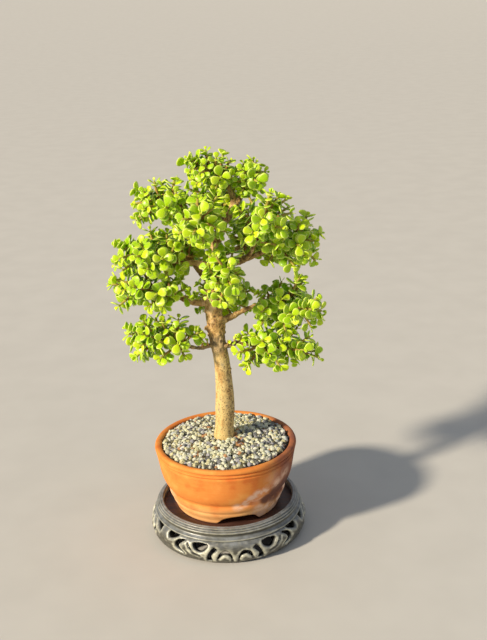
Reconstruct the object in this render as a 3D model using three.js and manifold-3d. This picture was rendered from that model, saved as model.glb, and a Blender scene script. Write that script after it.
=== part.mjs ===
// Dwarf jade bonsai in a round clay pot on a carved wooden stand.
// Millimetres, +Z up. The origin is on the ground, on the shared axis of stand and pot.
// The front of the tree looks towards -Y.
import * as THREE from "three";
import { mergeVertices } from "three/addons/utils/BufferGeometryUtils.js";
import Module from "manifold-3d";

const wasm = await Module();
wasm.setup();

// Driving dimensions

const GAP = 0.3; // between pieces that touch

const STAND = {
  innerRadius: 93, // of the ring, round the panel
  ledgeRadius: 88.5, // the rabbet that carries the panel reaches in to here
  ledgeZ: 35.4,
  bulgeRadius: 112, // widest part of the apron
  bulgeZ: 20,
  footRadius: 103,
  wall: 8, // thickness of the apron
  topZ: 51.6,
  sectors: 3, // the scroll pattern repeats this many times
  centreDeg: 5, // the middle of one sector, measured from the front towards +X
  segments: 27,
};
const PANEL = { thickness: 6 };
const POT = {
  footRadius: 71.5,
  rimRadius: 100,
  rimZ: 137,
  floorZ: 64.4, // top of the bottom plate
  plateZ: 57, // underside of the bottom plate
  drainRadius: 8,
  footInnerRadius: 60,
  archHalfDeg: 24.5, // half the width of one cut-out in the foot
  archHeight: 14,
  archDeg: 12.6, // the front cut-out, from the front towards +X
  feet: 3,
  segments: 27,
};
const MESH = { half: 13, thickness: 1.2, bar: 3, cells: 2 };
const GRAVEL = {
  centreZ: 142.6,
  edgeZ: 135.4,
  relief: 1.3, // height of the small stones on it
  fade: 6, // how fast the relief dies away at the wall of the pot
  segments: 22,
  rings: 5,
};
const TRUNK = {
  x: -1.6,
  y: 0,
  buriedZ: 99,
  buriedRadius: 8.5,
  holeFoot: 11.1, // radii of the hole in the gravel, at its foot and top
  holeTop: 15.2,
  sides: 9,
};
const BRANCH = { sides: 5 };
const LEAF = {
  length: 16,
  thick: 2.8,
  neck: 2, // height of its foot along the shoot
  crown: 0.52, // where it is thickest, as a share of its length
  middle: 0.56, // the middle of the room that it needs, as a share of its length
  room: 0.5, // the radius of that room, as a share of its length
  crowd: 0.38, // two leaves of a spray come no closer than this share of their lengths
  outline: [[0.62, 0.41], [0.99, 0.17]], // shares of the length: along, aside
  lengths: [0.88, 1.1], // natural variation
  spreads: [0.86, 1.14],
};
const STEM = {
  tipRadius: 1.7,
  heading: 0.5, // how far it keeps the direction of its branch, as a share of its length
  fill: 0.92, // it ends at this share of the way from the middle of its spray to the surface
  bends: [0, 0.2, 0.4, 0.6, 0.8],
  barrierSteps: 5,
};
const TWIG = {
  rootRadius: 1.8,
  tipRadius: 1.4,
  shortest: 12,
  reach: [0.84, 0.97], // shares of the way from the middle of its spray to the surface
  earlier: 0.25, // it leaves the stem this share of the stem before the point nearest its tip
  leaves: [0.25, 0.9], // the stretch of the stem that carries twigs
  lean: 0.12, // its first part leans along the stem, as a share of its length
  shares: [1, 0.85, 0.7], // lengths that are tried
  bends: [0],
};
const GOLDEN_ANGLE = Math.PI * (3 - Math.sqrt(5));
// Whorls of a shoot, from the tip back: the distance, the faces that carry leaves, their size and spread.
const WHORLS = [
  { back: 2.6, pairs: [{ face: 0, size: 0.96, spread: 66 }, { face: 1, size: 0.8, spread: 44 }] },
  { back: 12.5, pairs: [{ face: 1, size: 1.04, spread: 70 }] },
  { back: 22, pairs: [{ face: 0, size: 1.08, spread: 74 }] },
];
const WHORL_ROOM = 4; // no bend of a shoot is closer to a whorl
const SHOOT_REST = 6; // a shoot has no leaves this close to its root
const CLEAR = 0.45; // between two nodes of the tree
const SEED = 20531;

const FINISH = {
  wood_stand: { color: 0x2b2622, roughness: 0.55 },
  wood_panel: { color: 0x3a2320, roughness: 0.5 },
  clay: { color: 0xc8662f, roughness: 0.85 },
  plastic: { color: 0x2a2c2b, roughness: 0.6 },
  stones: { color: 0xb9b39b, roughness: 0.9 },
  bark: { color: 0xa98448, roughness: 0.85 },
  leaves: { color: 0x86b32c, roughness: 0.5 },
};

// Helpers

const V = (x, y, z) => new THREE.Vector3(x, y, z);
const RAD = THREE.MathUtils.DEG2RAD;

// A repeatable stream of random numbers.
class Dice {
  constructor(seed) {
    this.state = seed >>> 0;
  }
  next() {
    this.state = (Math.imul(this.state, 1664525) + 1013904223) >>> 0;
    return this.state / 4294967296;
  }
  between(low, high) {
    return low + (high - low) * this.next();
  }
}

// A closed geometry as a solid, its faces turned outwards.
function solid(geometry) {
  const bare = geometry.clone();
  bare.deleteAttribute("normal");
  bare.deleteAttribute("uv");
  const merged = mergeVertices(bare, 1e-4);
  const build = (triVerts) =>
    new wasm.Manifold(
      new wasm.Mesh({ numProp: 3, vertProperties: merged.attributes.position.array, triVerts }),
    );
  const faces = new Uint32Array(merged.index.array);
  const made = build(faces);
  if (made.volume() > 0) return made;
  for (let i = 0; i < faces.length; i += 3) {
    [faces[i + 1], faces[i + 2]] = [faces[i + 2], faces[i + 1]];
  }
  return build(faces);
}

// A solid as a named mesh with its material. Loose scraps of a join are left behind.
function piece(name, body, finish) {
  const parts = body.decompose().sort((a, b) => b.volume() - a.volume());
  const m = parts[0].getMesh();
  const geometry = new THREE.BufferGeometry()
    .setAttribute("position", new THREE.BufferAttribute(new Float32Array(m.vertProperties), 3))
    .setIndex(new THREE.BufferAttribute(new Uint32Array(m.triVerts), 1));
  geometry.computeVertexNormals();
  const mesh = new THREE.Mesh(geometry, new THREE.MeshStandardMaterial({ ...finish, metalness: 0 }));
  mesh.name = name;
  return mesh;
}

// A turned solid: a closed profile of [radius, z] points spun about the Z axis.
function turned(profile, segments) {
  const points = profile.map(([r, z]) => new THREE.Vector2(r, z));
  if (profile[0][0] > 0) points.push(points[0].clone());
  return solid(new THREE.LatheGeometry(points, segments).rotateX(Math.PI / 2));
}

// A prism with radial walls: an outline in degrees from the front (towards +X) and mm of height,
// from the inner to the outer radius.
function radialCut(outline, inner, outer, midDeg = 0, mirror = 1) {
  const shape = new THREE.Shape(outline.map(([deg, z]) => new THREE.Vector2(deg, z)));
  const prism = new THREE.ExtrudeGeometry(shape, { depth: 1, bevelEnabled: false, steps: 1 });
  const at = prism.attributes.position;
  for (let i = 0; i < at.count; i++) {
    const angle = (midDeg + mirror * at.getX(i)) * RAD;
    const r = inner + (outer - inner) * at.getZ(i);
    at.setXYZ(i, r * Math.sin(angle), -r * Math.cos(angle), at.getY(i));
  }
  return solid(prism);
}

// A limb: a round bar with a radius that changes along a curve.
function limb(curve, radiusAt, sides, steps) {
  const bar = new THREE.CylinderGeometry(1, 1, 1, sides, steps);
  const frames = curve.computeFrenetFrames(steps, false);
  const at = bar.attributes.position;
  for (let i = 0; i < at.count; i++) {
    const k = Math.round((at.getY(i) + 0.5) * steps);
    const centre = curve.getPoint(k / steps);
    const r = radiusAt(k / steps);
    centre.addScaledVector(frames.normals[k], r * at.getX(i));
    centre.addScaledVector(frames.binormals[k], r * at.getZ(i));
    at.setXYZ(i, centre.x, centre.y, centre.z);
  }
  return solid(bar);
}

// Stand

// The openings of half a sector, in degrees from the middle of the sector and mm of height.
const SCROLL = {
  crescent: [[2.2, 6], [2.6, 16], [6, 22.4], [10.4, 20.6], [13, 8.5], [8.4, 16.4], [4.6, 15]],
  comma: [[13.2, 24.6], [15.6, 26.6], [20.6, 12], [20.4, 6], [17.2, 6.2], [17.2, 15.5]],
  halfMoon: [[20.4, 29.6], [31.2, 29.4], [30, 21.4], [26.4, 18.4], [22.2, 21.4]],
  claw: [[37.6, 30.4], [44, 28.2], [46.8, 22.4], [45.4, 15], [38.6, 11.6], [43.2, 20.6], [41.6, 25]],
  triangle: [[44.6, 32.2], [55, 32.2], [53.6, 24.4]],
};
// Between the feet the lower edge of the apron lifts off the ground.
const LIFTS = [
  [[-37, -1], [-34.5, 1.6], [34.5, 1.6], [37, -1]],
  [[46.5, -1], [49, 2.4], [71, 2.4], [73.5, -1]],
];

function standFrame() {
  const { bulgeRadius, bulgeZ, footRadius, innerRadius, ledgeRadius, ledgeZ, topZ, wall } = STAND;
  const outer = [
    [footRadius, 0], [110, 9], [bulgeRadius, bulgeZ], [107.6, 30.6], [103, 33.4], [104.4, 35.4],
    [100.8, 39.4], [102, 45], [99.2, 49.4], [95.2, topZ],
  ];
  const inner = [
    [innerRadius, topZ - 1.2], [innerRadius, ledgeZ], [ledgeRadius, ledgeZ], [ledgeRadius, 30.5],
    [bulgeRadius - wall, bulgeZ], [footRadius - wall, 0],
  ];
  let body = turned([...outer, ...inner], STAND.segments);
  const cutFrom = ledgeRadius + 2.5;
  const cut = (outline, mid, mirror) => {
    body = body.subtract(radialCut(outline, cutFrom, bulgeRadius + wall, mid, mirror));
  };
  for (let s = 0; s < STAND.sectors; s++) {
    const mid = STAND.centreDeg + (360 / STAND.sectors) * s;
    for (const outline of Object.values(SCROLL)) {
      cut(outline, mid, 1);
      cut(outline, mid, -1);
    }
    for (const outline of LIFTS) cut(outline, mid, 1);
  }
  return body;
}

function standPanel() {
  const low = STAND.ledgeZ + GAP;
  const high = low + PANEL.thickness;
  const r = STAND.innerRadius - GAP;
  return turned([[0, low], [r, low], [r, high], [0, high]], STAND.segments);
}

// Pot

const POT_Z = STAND.ledgeZ + 2 * GAP + PANEL.thickness; // underside of the feet
const POT_INSIDE = [
  [90.4, 134.8], [88.6, 122], [83, 95], [74, 71.5], [62, POT.floorZ],
];

function pot() {
  const outer = [
    [POT.footInnerRadius, POT_Z], [POT.footRadius, POT_Z], [74.6, 46.5], [79.6, 58.5], [79.2, 61],
    [82.9, 65], [83.6, 70.5], [82.2, 75], [87, 80.5], [91.4, 90], [94.3, 101], [97.8, 122.4],
    [96.9, 124.2], [98.4, 126.4], [97.4, 129.4], [POT.rimRadius, 132.6], [98.6, 136.2], [93.4, POT.rimZ],
  ];
  const { drainRadius, floorZ, plateZ, footInnerRadius, footRadius } = POT;
  const under = [[drainRadius, floorZ], [drainRadius, plateZ], [footInnerRadius - 2, plateZ]];
  let body = turned([...outer, ...POT_INSIDE, ...under], POT.segments);
  const half = [[0.4, 1], [0.8, 0.58], [1, 0], [1, -0.25]]; // shares of the arch's half width and height
  const arch = [...half.map(([a, h]) => [-a, h]).reverse(), ...half].map(([a, h]) => [
    a * POT.archHalfDeg,
    POT_Z + h * POT.archHeight,
  ]);
  for (let k = 0; k < POT.feet; k++) {
    const mid = POT.archDeg + (360 / POT.feet) * k;
    body = body.subtract(radialCut(arch, footInnerRadius - 16, footRadius + 22, mid));
  }
  return body;
}

function drainMesh() {
  const z = POT.floorZ + GAP + MESH.thickness / 2;
  const grid = new THREE.BoxGeometry(2 * MESH.half, 2 * MESH.half, MESH.thickness);
  let body = solid(grid.translate(0, 0, z));
  const pitch = (2 * MESH.half - MESH.bar) / MESH.cells;
  const middle = (MESH.cells - 1) / 2;
  for (let i = 0; i < MESH.cells; i++) {
    for (let j = 0; j < MESH.cells; j++) {
      const hole = new THREE.BoxGeometry(pitch - MESH.bar, pitch - MESH.bar, 2 * MESH.thickness);
      body = body.subtract(solid(hole.translate((i - middle) * pitch, (j - middle) * pitch, z)));
    }
  }
  return body;
}

// Height of the gravel at a place: a low dome towards the trunk, with small stones as crossed waves.
function gravelZ(x, y) {
  const r = Math.hypot(x, y) / POT_INSIDE[1][0];
  const dome = GRAVEL.centreZ + (GRAVEL.edgeZ - GRAVEL.centreZ) * r * r;
  const crossed = Math.sin(1.9 * x + 0.7 * y) * Math.cos(1.6 * y - 0.9 * x);
  const stones = crossed + 0.6 * Math.sin(2.7 * y + 0.4 * x);
  return dome + GRAVEL.relief * stones * THREE.MathUtils.clamp((1 - r) * GRAVEL.fade, 0, 1);
}

function gravelFill() {
  const low = POT.floorZ + GAP;
  const overMesh = low + GAP + MESH.thickness;
  const recess = Math.SQRT2 * MESH.half + GAP;
  const wall = POT_INSIDE.slice(2).reverse();
  const side = wall.map(([r, z]) => [r - 2.3 * GAP, Math.max(z, low)]);
  const edge = POT_INSIDE[1][0] - 3 * GAP;
  const markZ = GRAVEL.centreZ + 20; // the points of the top surface, until gravelZ places them
  const rings = Array.from({ length: GRAVEL.rings + 1 }, (_, k) => [edge * (1 - k / GRAVEL.rings), markZ]);
  const profile = [[0, overMesh], [recess, overMesh], [recess, low], ...side, [edge, GRAVEL.edgeZ - 1.5]];
  const points = [...profile, ...rings].map(([r, z]) => new THREE.Vector2(r, z));
  const lathe = new THREE.LatheGeometry(points, GRAVEL.segments).rotateX(Math.PI / 2);
  const at = lathe.attributes.position;
  for (let i = 0; i < at.count; i++) {
    if (at.getZ(i) > markZ - 1) at.setZ(i, gravelZ(at.getX(i), at.getY(i)));
  }
  const [bottom, top] = [TRUNK.buriedZ - GAP, GRAVEL.centreZ + 6];
  const hole = new THREE.CylinderGeometry(TRUNK.holeTop, TRUNK.holeFoot, top - bottom, 14);
  hole.rotateX(Math.PI / 2);
  hole.translate(TRUNK.x, TRUNK.y, (top + bottom) / 2);
  return solid(lathe).subtract(solid(hole));
}

// Wood

// Trunk: places and radii from the buried base to the fork of the leader.
const TRUNK_LINE = [
  [TRUNK.x, TRUNK.y, TRUNK.buriedZ, TRUNK.buriedRadius], [-1.6, 0, 122, 12], [-1.6, 0, 138, 13.2],
  [-0.2, -0.5, 160, 12.6], [1.4, -1, 190, 12.8], [1.5, -2, 227, 11.5], [-0.4, -2, 258, 10.7],
  [-4.8, -1, 288, 10.5], [-6.2, 0, 307, 12.4], [-8.6, 1, 328, 11.6], [-11.3, 2, 346, 9.4],
  [-10.6, 3, 372, 7.4], [-6.3, 3, 397, 6.8], [-1.3, 2, 420, 6.2], [7.8, 2, 447, 5.6],
  [21, 3, 464, 4.8], [24, 4, 480, 4], [17, 3, 499, 3],
];

// Branches: the places that each passes, and its radius at the root and at the end.
const BRANCHES = {
  lower_left: { r: [3.4, 2.3], at: [[-5, 0, 283], [-16, -2, 279.5], [-30, -4, 277.5], [-42, -6, 280]] },
  lower_right: { r: [4.2, 2.6], at: [[-4, 0, 278], [9, -4, 279.5], [25, -7, 285], [40, -8, 281]] },
  mid_left_lower: { r: [5.6, 3.2], at: [[-10, 1, 343], [-22, 0, 341], [-36, -3, 343], [-50, -6, 350]] },
  mid_left_upper: { r: [4.2, 2.8], at: [[-9, 3, 389], [-28, 2, 396], [-46, 0, 398]] },
  upper_left: { r: [4.6, 2.8], at: [[2, 2, 426], [-12, -3, 441], [-27, -6, 451], [-42, -6, 462]] },
  upper_right_outer: { r: [5.4, 3], at: [[-7, 3, 386], [22, 2, 395], [46, 0, 403], [68, 0, 411]] },
  upper_right_front: { r: [3.2, 2.2], at: [[34, 1, 399], [42, -10, 408], [47, -19, 419]] },
  mid_right: { r: [4.6, 2.8], at: [[-6, 1, 311], [16, 6, 318], [36, 8, 327], [54, 6, 333]] },
  back_low: { r: [4.6, 2.8], at: [[-8, 3, 322], [-6, 22, 324], [-1, 42, 326]] },
  back_left: { r: [4.4, 2.8], at: [[-11, 4, 366], [-24, 22, 376], [-36, 42, 386]] },
  back_right: { r: [4.4, 2.8], at: [[-4, 4, 405], [14, 24, 404], [30, 44, 405]] },
  back_upper: { r: [3.6, 2.4], at: [[4, 3, 438], [4, 16, 448], [3, 27, 456]] },
  centre_front: { r: [3, 2], at: [[-10, 0, 360], [-4, -12, 364], [2, -20, 369]] },
  centre_upper: { r: [2.6, 1.9], at: [[-12, -3, 441], [-15, -14, 444], [-17, -22, 449]] },
  crown_right: { r: [3.6, 2.2], at: [[22, 3, 468], [32, 5, 480], [38, 6, 492]] },
  stub: { r: [3.6, 3], at: [[-6, 0, 302], [-16, -6, 306], [-21, -8, 308]] },
};
const curveThrough = (places) => {
  const points = places.map(([x, y, z]) => V(x, y, z));
  return new THREE.CatmullRomCurve3(points, false, "centripetal");
};
const TRUNK_STEPS = TRUNK_LINE.length - 1;
const trunkRadius = (t) => TRUNK_LINE[Math.round(t * TRUNK_STEPS)][3];
const branchRadius = (r) => (t) => r[0] + (r[1] - r[0]) * t;

function wood() {
  let body = limb(curveThrough(TRUNK_LINE), trunkRadius, TRUNK.sides, TRUNK_STEPS);
  for (const { r, at } of Object.values(BRANCHES)) {
    body = body.add(limb(curveThrough(at), branchRadius(r), BRANCH.sides, at.length - 1));
  }
  return body;
}

// Foliage

// Sprays: the centre and half sizes of the space that each fills, and its number of side twigs.
const SPRAYS = {
  crown_left: { centre: [-7, 0, 518], half: [36, 38, 31], twigs: 4 },
  crown_right: { centre: [44, 4, 509], half: [27, 33, 25], twigs: 4 },
  upper_left: { centre: [-72, -4, 478], half: [40, 42, 38], twigs: 5 },
  mid_left_upper: { centre: [-89, -6, 413], half: [54, 46, 34], twigs: 5 },
  mid_left_lower: { centre: [-92, -8, 365], half: [58, 44, 34], twigs: 5 },
  lower_left: { centre: [-82, -5, 294], half: [57, 44, 33], twigs: 5 },
  centre_upper: { centre: [-17, -42, 462], half: [36, 34, 41], twigs: 4 },
  centre_front: { centre: [8, -38, 386], half: [27, 30, 44], twigs: 4 },
  upper_right_front: { centre: [59, -30, 458], half: [43, 42, 45], twigs: 4 },
  upper_right_outer: { centre: [98, 0, 420], half: [44, 44, 47], twigs: 5 },
  mid_right: { centre: [90, 0, 330], half: [53, 46, 48], twigs: 5 },
  lower_right: { centre: [74, -5, 275], half: [64, 44, 35], twigs: 5 },
  back_low: { centre: [5, 70, 330], half: [48, 38, 38], twigs: 5 },
  back_left: { centre: [-56, 70, 398], half: [46, 38, 44], twigs: 4 },
  back_right: { centre: [56, 70, 414], half: [48, 38, 46], twigs: 5 },
  back_upper: { centre: [2, 50, 474], half: [44, 40, 38], twigs: 4 },
};

// Shortest distance between two straight pieces [from, to].
function distance(a, b) {
  const d1 = a.to.clone().sub(a.from);
  const d2 = b.to.clone().sub(b.from);
  const r = a.from.clone().sub(b.from);
  const [aa, ee, ff] = [d1.dot(d1), d2.dot(d2), d2.dot(r)];
  const clamp = THREE.MathUtils.clamp;
  let s = 0;
  let t = 0;
  if (aa < 1e-9 && ee < 1e-9) return r.length();
  if (aa < 1e-9) {
    t = clamp(ff / ee, 0, 1);
  } else {
    const c = d1.dot(r);
    if (ee < 1e-9) {
      s = clamp(-c / aa, 0, 1);
    } else {
      const b2 = d1.dot(d2);
      const denominator = aa * ee - b2 * b2;
      if (denominator > 1e-9) s = clamp((b2 * ff - c * ee) / denominator, 0, 1);
      t = (b2 * s + ff) / ee;
      if (t < 0) {
        t = 0;
        s = clamp(-c / aa, 0, 1);
      } else if (t > 1) {
        t = 1;
        s = clamp((b2 - c) / aa, 0, 1);
      }
    }
  }
  return a.from.clone().addScaledVector(d1, s).distanceTo(b.from.clone().addScaledVector(d2, t));
}

// A curve as straight pieces with a radius each, owned by a node.
function rods(owner, curve, radiusAt, steps) {
  const list = [];
  for (let k = 0; k < steps; k++) {
    list.push({
      owner,
      from: curve.getPoint(k / steps),
      to: curve.getPoint((k + 1) / steps),
      radius: Math.max(radiusAt(k / steps), radiusAt((k + 1) / steps)),
    });
  }
  return list;
}

// Everything that a twig or a leaf of another spray keeps clear of.
const barriers = [];
const isClear = (rod) =>
  barriers.every((other) => {
    const needed = rod.radius + other.radius + CLEAR;
    return other.owner === rod.owner || distance(rod, other) > needed;
  });

// The twig that carries a spray: from the end of its branch, in the branch's direction, through the
// middle of the spray.
function sprayStem(name) {
  const spray = SPRAYS[name];
  const places = BRANCHES[name] ? BRANCHES[name].at : TRUNK_LINE;
  const rootRadius = BRANCHES[name] ? BRANCHES[name].r[1] : TRUNK_LINE[TRUNK_STEPS][3];
  const carrier = curveThrough(places);
  const heading = carrier.getTangent(1);
  const root = carrier.getPoint(1).addScaledVector(heading, GAP);
  const centre = V(...spray.centre);
  const reach = root.distanceTo(centre);
  const onward = centre.clone().sub(root).divideScalar(reach);
  const toSurface = 1 / onward.clone().divide(V(...spray.half)).length();
  const end = centre.clone().addScaledVector(onward, STEM.fill * toSurface);
  const bend = root.clone().addScaledVector(heading, STEM.heading * reach);
  const curve = new THREE.QuadraticBezierCurve3(root, bend, end);
  return { curve, radiusAt: branchRadius([rootRadius, STEM.tipRadius]), bends: STEM.bends };
}

// Where a side twig ends: the twigs share out the surface of the spray's space by the golden angle.
function twigTip(spray, k, dice) {
  const up = 1 - (1.72 * (k + 0.5)) / spray.twigs; // none points straight down
  const around = GOLDEN_ANGLE * k + dice.between(0, 0.7);
  const ring = Math.sqrt(1 - up * up);
  const reach = dice.between(...TWIG.reach);
  const spot = V(ring * Math.cos(around), ring * Math.sin(around), up).multiply(V(...spray.half));
  return V(...spray.centre).addScaledVector(spot, reach);
}

// The share of a stem that lies nearest to a place.
function nearestShare(curve, place, steps) {
  const shares = Array.from({ length: steps + 1 }, (_, i) => i / steps);
  const gaps = shares.map((t) => curve.getPoint(t).distanceTo(place));
  return shares[gaps.indexOf(Math.min(...gaps))];
}

// The side twigs of a spray. One that comes too near another node is made shorter, or left out.
function sideTwigs(name, stem, dice) {
  const made = [];
  for (let k = 0; k < SPRAYS[name].twigs; k++) {
    const tip = twigTip(SPRAYS[name], k, dice);
    const along = THREE.MathUtils.clamp(nearestShare(stem.curve, tip, 20) - TWIG.earlier, ...TWIG.leaves);
    const from = stem.curve.getPoint(along);
    const lean = stem.curve.getTangent(along);
    for (const share of TWIG.shares) {
      const to = from.clone().lerp(tip, share);
      const length = from.distanceTo(to);
      const bend = from.clone().lerp(to, 0.45).addScaledVector(lean, TWIG.lean * length);
      const curve = new THREE.QuadraticBezierCurve3(from, bend, to);
      const radiusAt = branchRadius([TWIG.rootRadius, TWIG.tipRadius]);
      const own = rods(name, curve, radiusAt, 2);
      if (length < TWIG.shortest || !own.every(isClear)) continue;
      barriers.push(...own);
      made.push({ curve, radiusAt, bends: TWIG.bends });
      break;
    }
  }
  return made;
}

// A leaf on one face of a shoot, or null where it would crowd its own spray or touch another node.
function leafOn(name, frame, face, { size, spread }, dice, crowns) {
  const angle = spread * RAD * dice.between(...LEAF.spreads);
  const length = LEAF.length * size * dice.between(...LEAF.lengths);
  const aside = frame.faces[face];
  const out = aside.clone().multiplyScalar(Math.sin(angle)).addScaledVector(frame.axis, Math.cos(angle));
  const up = frame.axis.clone().multiplyScalar(Math.sin(angle)).addScaledVector(aside, -Math.cos(angle));
  const middle = frame.centre.clone().addScaledVector(out, LEAF.middle * length);
  const ball = { owner: name, from: middle, to: middle, radius: LEAF.room * length };
  const crowded = crowns.some(
    (c) => c.owner === name && c.at.distanceTo(middle) < LEAF.crowd * (c.length + length),
  );
  if (crowded || !isClear(ball)) return null;
  barriers.push(ball);
  crowns.push({ owner: name, at: middle, length });
  return { out, up, length };
}

// The leaves of one shoot: opposite pairs, each pair a quarter turn from the last, smaller at the tip.
// A shoot has four faces; a pair sits on two opposite ones.
function addLeaves(name, shoot, dice, crowns) {
  const length = shoot.curve.getLength();
  const tangent = shoot.curve.getTangent(0.5);
  const level = V(tangent.y, -tangent.x, 0.02).normalize();
  shoot.side = level.applyAxisAngle(tangent, dice.between(0, Math.PI / 2));
  shoot.whorls = [];
  for (const { back, pairs } of WHORLS) {
    if (back > length - SHOOT_REST) break;
    const t = shoot.curve.getUtoTmapping(1 - back / length);
    const frame = ringFrame(shoot, t);
    const leaves = [null, null, null, null];
    for (const pair of pairs) {
      for (const face of [pair.face, pair.face + 2]) {
        leaves[face] = leafOn(name, frame, face, pair, dice, crowns);
      }
    }
    if (leaves.some(Boolean)) shoot.whorls.push({ t, leaves });
  }
}

// The place, direction, radius and four outward faces of a shoot's ring.
function ringFrame({ curve, radiusAt, side }, t) {
  const axis = curve.getTangent(t);
  const u = side.clone().addScaledVector(axis, -side.dot(axis)).normalize();
  const v = new THREE.Vector3().crossVectors(axis, u);
  const faces = [u, v, u.clone().negate(), v.clone().negate()];
  return { centre: curve.getPoint(t), axis, radius: radiusAt(t), faces };
}

// A shoot: a four-sided twig whose faces widen into plump leaves at each whorl, all one skin.
class ShootSkin {
  constructor() {
    this.corners = [];
    this.faces = [];
  }

  add(point) {
    return this.corners.push(point.x, point.y, point.z) / 3 - 1;
  }

  // Four corners round the twig, moved along it by a shift.
  ring(frame, shift) {
    return [0, 1, 2, 3].map((k) => {
      const point = frame.centre.clone().addScaledVector(frame.axis, shift);
      point.addScaledVector(frame.faces[k], frame.radius * Math.SQRT1_2);
      point.addScaledVector(frame.faces[(k + 3) % 4], frame.radius * Math.SQRT1_2);
      return this.add(point);
    });
  }

  // Triangles from a hub to each side of a rim.
  fan(hub, rim) {
    for (let i = 1; i < rim.length; i++) this.faces.push(hub, rim[i - 1], rim[i]);
  }

  // One face of the twig between two rings.
  wall(low, high, k) {
    const next = (k + 1) % 4;
    this.faces.push(low[k], low[next], high[next], low[k], high[next], high[k]);
  }

  join(low, high) {
    for (let k = 0; k < 4; k++) this.wall(low, high, k);
  }

  // A leaf in place of the wall between two rings: two low domes that share a rim.
  leaf(frame, low, high, k, { out, up, length }) {
    const across = new THREE.Vector3().crossVectors(up, out);
    const spot = (along, aside, rise) => {
      const point = frame.centre.clone().addScaledVector(out, along * length);
      point.addScaledVector(across, aside * length);
      return this.add(point.addScaledVector(up, rise));
    };
    const near = LEAF.outline.map(([a, w]) => spot(a, w, 0));
    const far = LEAF.outline.map(([a, w]) => spot(a, -w, 0)).reverse();
    const rim = [...near, ...far];
    const top = spot(LEAF.crown, 0, LEAF.thick / 2);
    const under = spot(LEAF.crown, 0, -LEAF.thick / 2);
    const next = (k + 1) % 4;
    const round = across.dot(frame.faces[next]) > 0 ? rim : [...rim].reverse();
    const back = [...round].reverse();
    this.fan(top, [high[k], ...back, high[next], high[k]]);
    this.fan(under, [low[next], ...round, low[k], low[next]]);
    this.faces.push(low[next], high[next], round[0], low[k], back[0], high[k]);
  }

  solid() {
    const geometry = new THREE.BufferGeometry()
      .setAttribute("position", new THREE.BufferAttribute(new Float32Array(this.corners), 3))
      .setIndex(this.faces);
    return solid(geometry);
  }
}

function shootSolid(shoot) {
  const skin = new ShootSkin();
  const room = WHORL_ROOM / shoot.curve.getLength();
  const bends = shoot.bends.filter((t) => shoot.whorls.every((w) => Math.abs(w.t - t) > room));
  const rings = [...bends.map((t) => ({ t })), ...shoot.whorls].sort((a, b) => a.t - b.t);
  let last = null;
  for (const { t, leaves } of rings) {
    const frame = ringFrame(shoot, t);
    const low = skin.ring(frame, leaves ? -LEAF.neck / 2 : 0);
    if (last) skin.join(last, low);
    else skin.faces.push(low[0], low[2], low[1], low[0], low[3], low[2]);
    last = low;
    if (!leaves) continue;
    const high = skin.ring(frame, LEAF.neck / 2);
    leaves.forEach((leaf, k) => (leaf ? skin.leaf(frame, low, high, k, leaf) : skin.wall(low, high, k)));
    last = high;
  }
  skin.faces.push(last[0], last[1], last[2], last[0], last[2], last[3]);
  return skin.solid();
}

function foliage() {
  const dice = new Dice(SEED);
  barriers.push(...rods("wood", curveThrough(TRUNK_LINE), trunkRadius, TRUNK_STEPS));
  for (const { r, at } of Object.values(BRANCHES)) {
    barriers.push(...rods("wood", curveThrough(at), branchRadius(r), 2 * (at.length - 1)));
  }
  const names = Object.keys(SPRAYS);
  const stems = {};
  const twigs = {};
  const crowns = [];
  for (const name of names) {
    stems[name] = sprayStem(name);
    barriers.push(...rods(name, stems[name].curve, stems[name].radiusAt, STEM.barrierSteps));
  }
  for (const name of names) twigs[name] = sideTwigs(name, stems[name], dice);
  for (const name of names) {
    for (const shoot of [...twigs[name], stems[name]]) addLeaves(name, shoot, dice, crowns);
  }
  return names.map((name) => {
    let body = shootSolid(stems[name]);
    for (const twig of twigs[name]) body = body.add(shootSolid(twig));
    return piece(`spray_${name}`, body, FINISH.leaves);
  });
}

// The whole object

const bonsai = new THREE.Group();
bonsai.add(
  piece("stand_frame", standFrame(), FINISH.wood_stand),
  piece("stand_panel", standPanel(), FINISH.wood_panel),
  piece("pot", pot(), FINISH.clay),
  piece("drain_mesh", drainMesh(), FINISH.plastic),
  piece("gravel_fill", gravelFill(), FINISH.stones),
  piece("trunk_and_branches", wood(), FINISH.bark),
  ...foliage(),
);

export default bonsai;
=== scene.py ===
"""Dwarf jade bonsai in a round clay pot on a carved wooden stand: its looks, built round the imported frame.

Shapes are worked out in millimetres as numpy arrays and put into meshes in metres.
"""

import itertools
import logging
import math
from dataclasses import dataclass, field
from enum import Enum

import bpy
import numpy as np
from mathutils import Matrix, Vector


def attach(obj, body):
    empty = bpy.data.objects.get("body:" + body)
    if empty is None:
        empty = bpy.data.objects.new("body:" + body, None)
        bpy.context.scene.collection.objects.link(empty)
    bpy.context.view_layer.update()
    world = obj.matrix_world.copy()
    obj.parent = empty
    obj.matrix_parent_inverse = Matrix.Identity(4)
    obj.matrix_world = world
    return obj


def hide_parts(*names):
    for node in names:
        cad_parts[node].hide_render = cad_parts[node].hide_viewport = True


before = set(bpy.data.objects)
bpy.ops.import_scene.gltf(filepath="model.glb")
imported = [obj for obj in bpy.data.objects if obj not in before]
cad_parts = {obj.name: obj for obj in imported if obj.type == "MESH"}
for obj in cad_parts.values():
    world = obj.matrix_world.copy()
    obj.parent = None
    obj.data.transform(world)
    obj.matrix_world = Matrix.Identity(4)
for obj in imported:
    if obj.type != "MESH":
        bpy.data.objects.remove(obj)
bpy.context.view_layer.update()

LOG = logging.getLogger("bonsai")
Array = np.ndarray
Flat = tuple[float, float]
Place = tuple[float, float, float]
Object = bpy.types.Object
Material = bpy.types.Material
Socket = bpy.types.NodeSocket
Value = Socket | float
MM = 0.001
BODY = "root"
GAP = 0.3  # between pieces that touch, in mm
GOLDEN_ANGLE = math.pi * (3 - math.sqrt(5))


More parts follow.
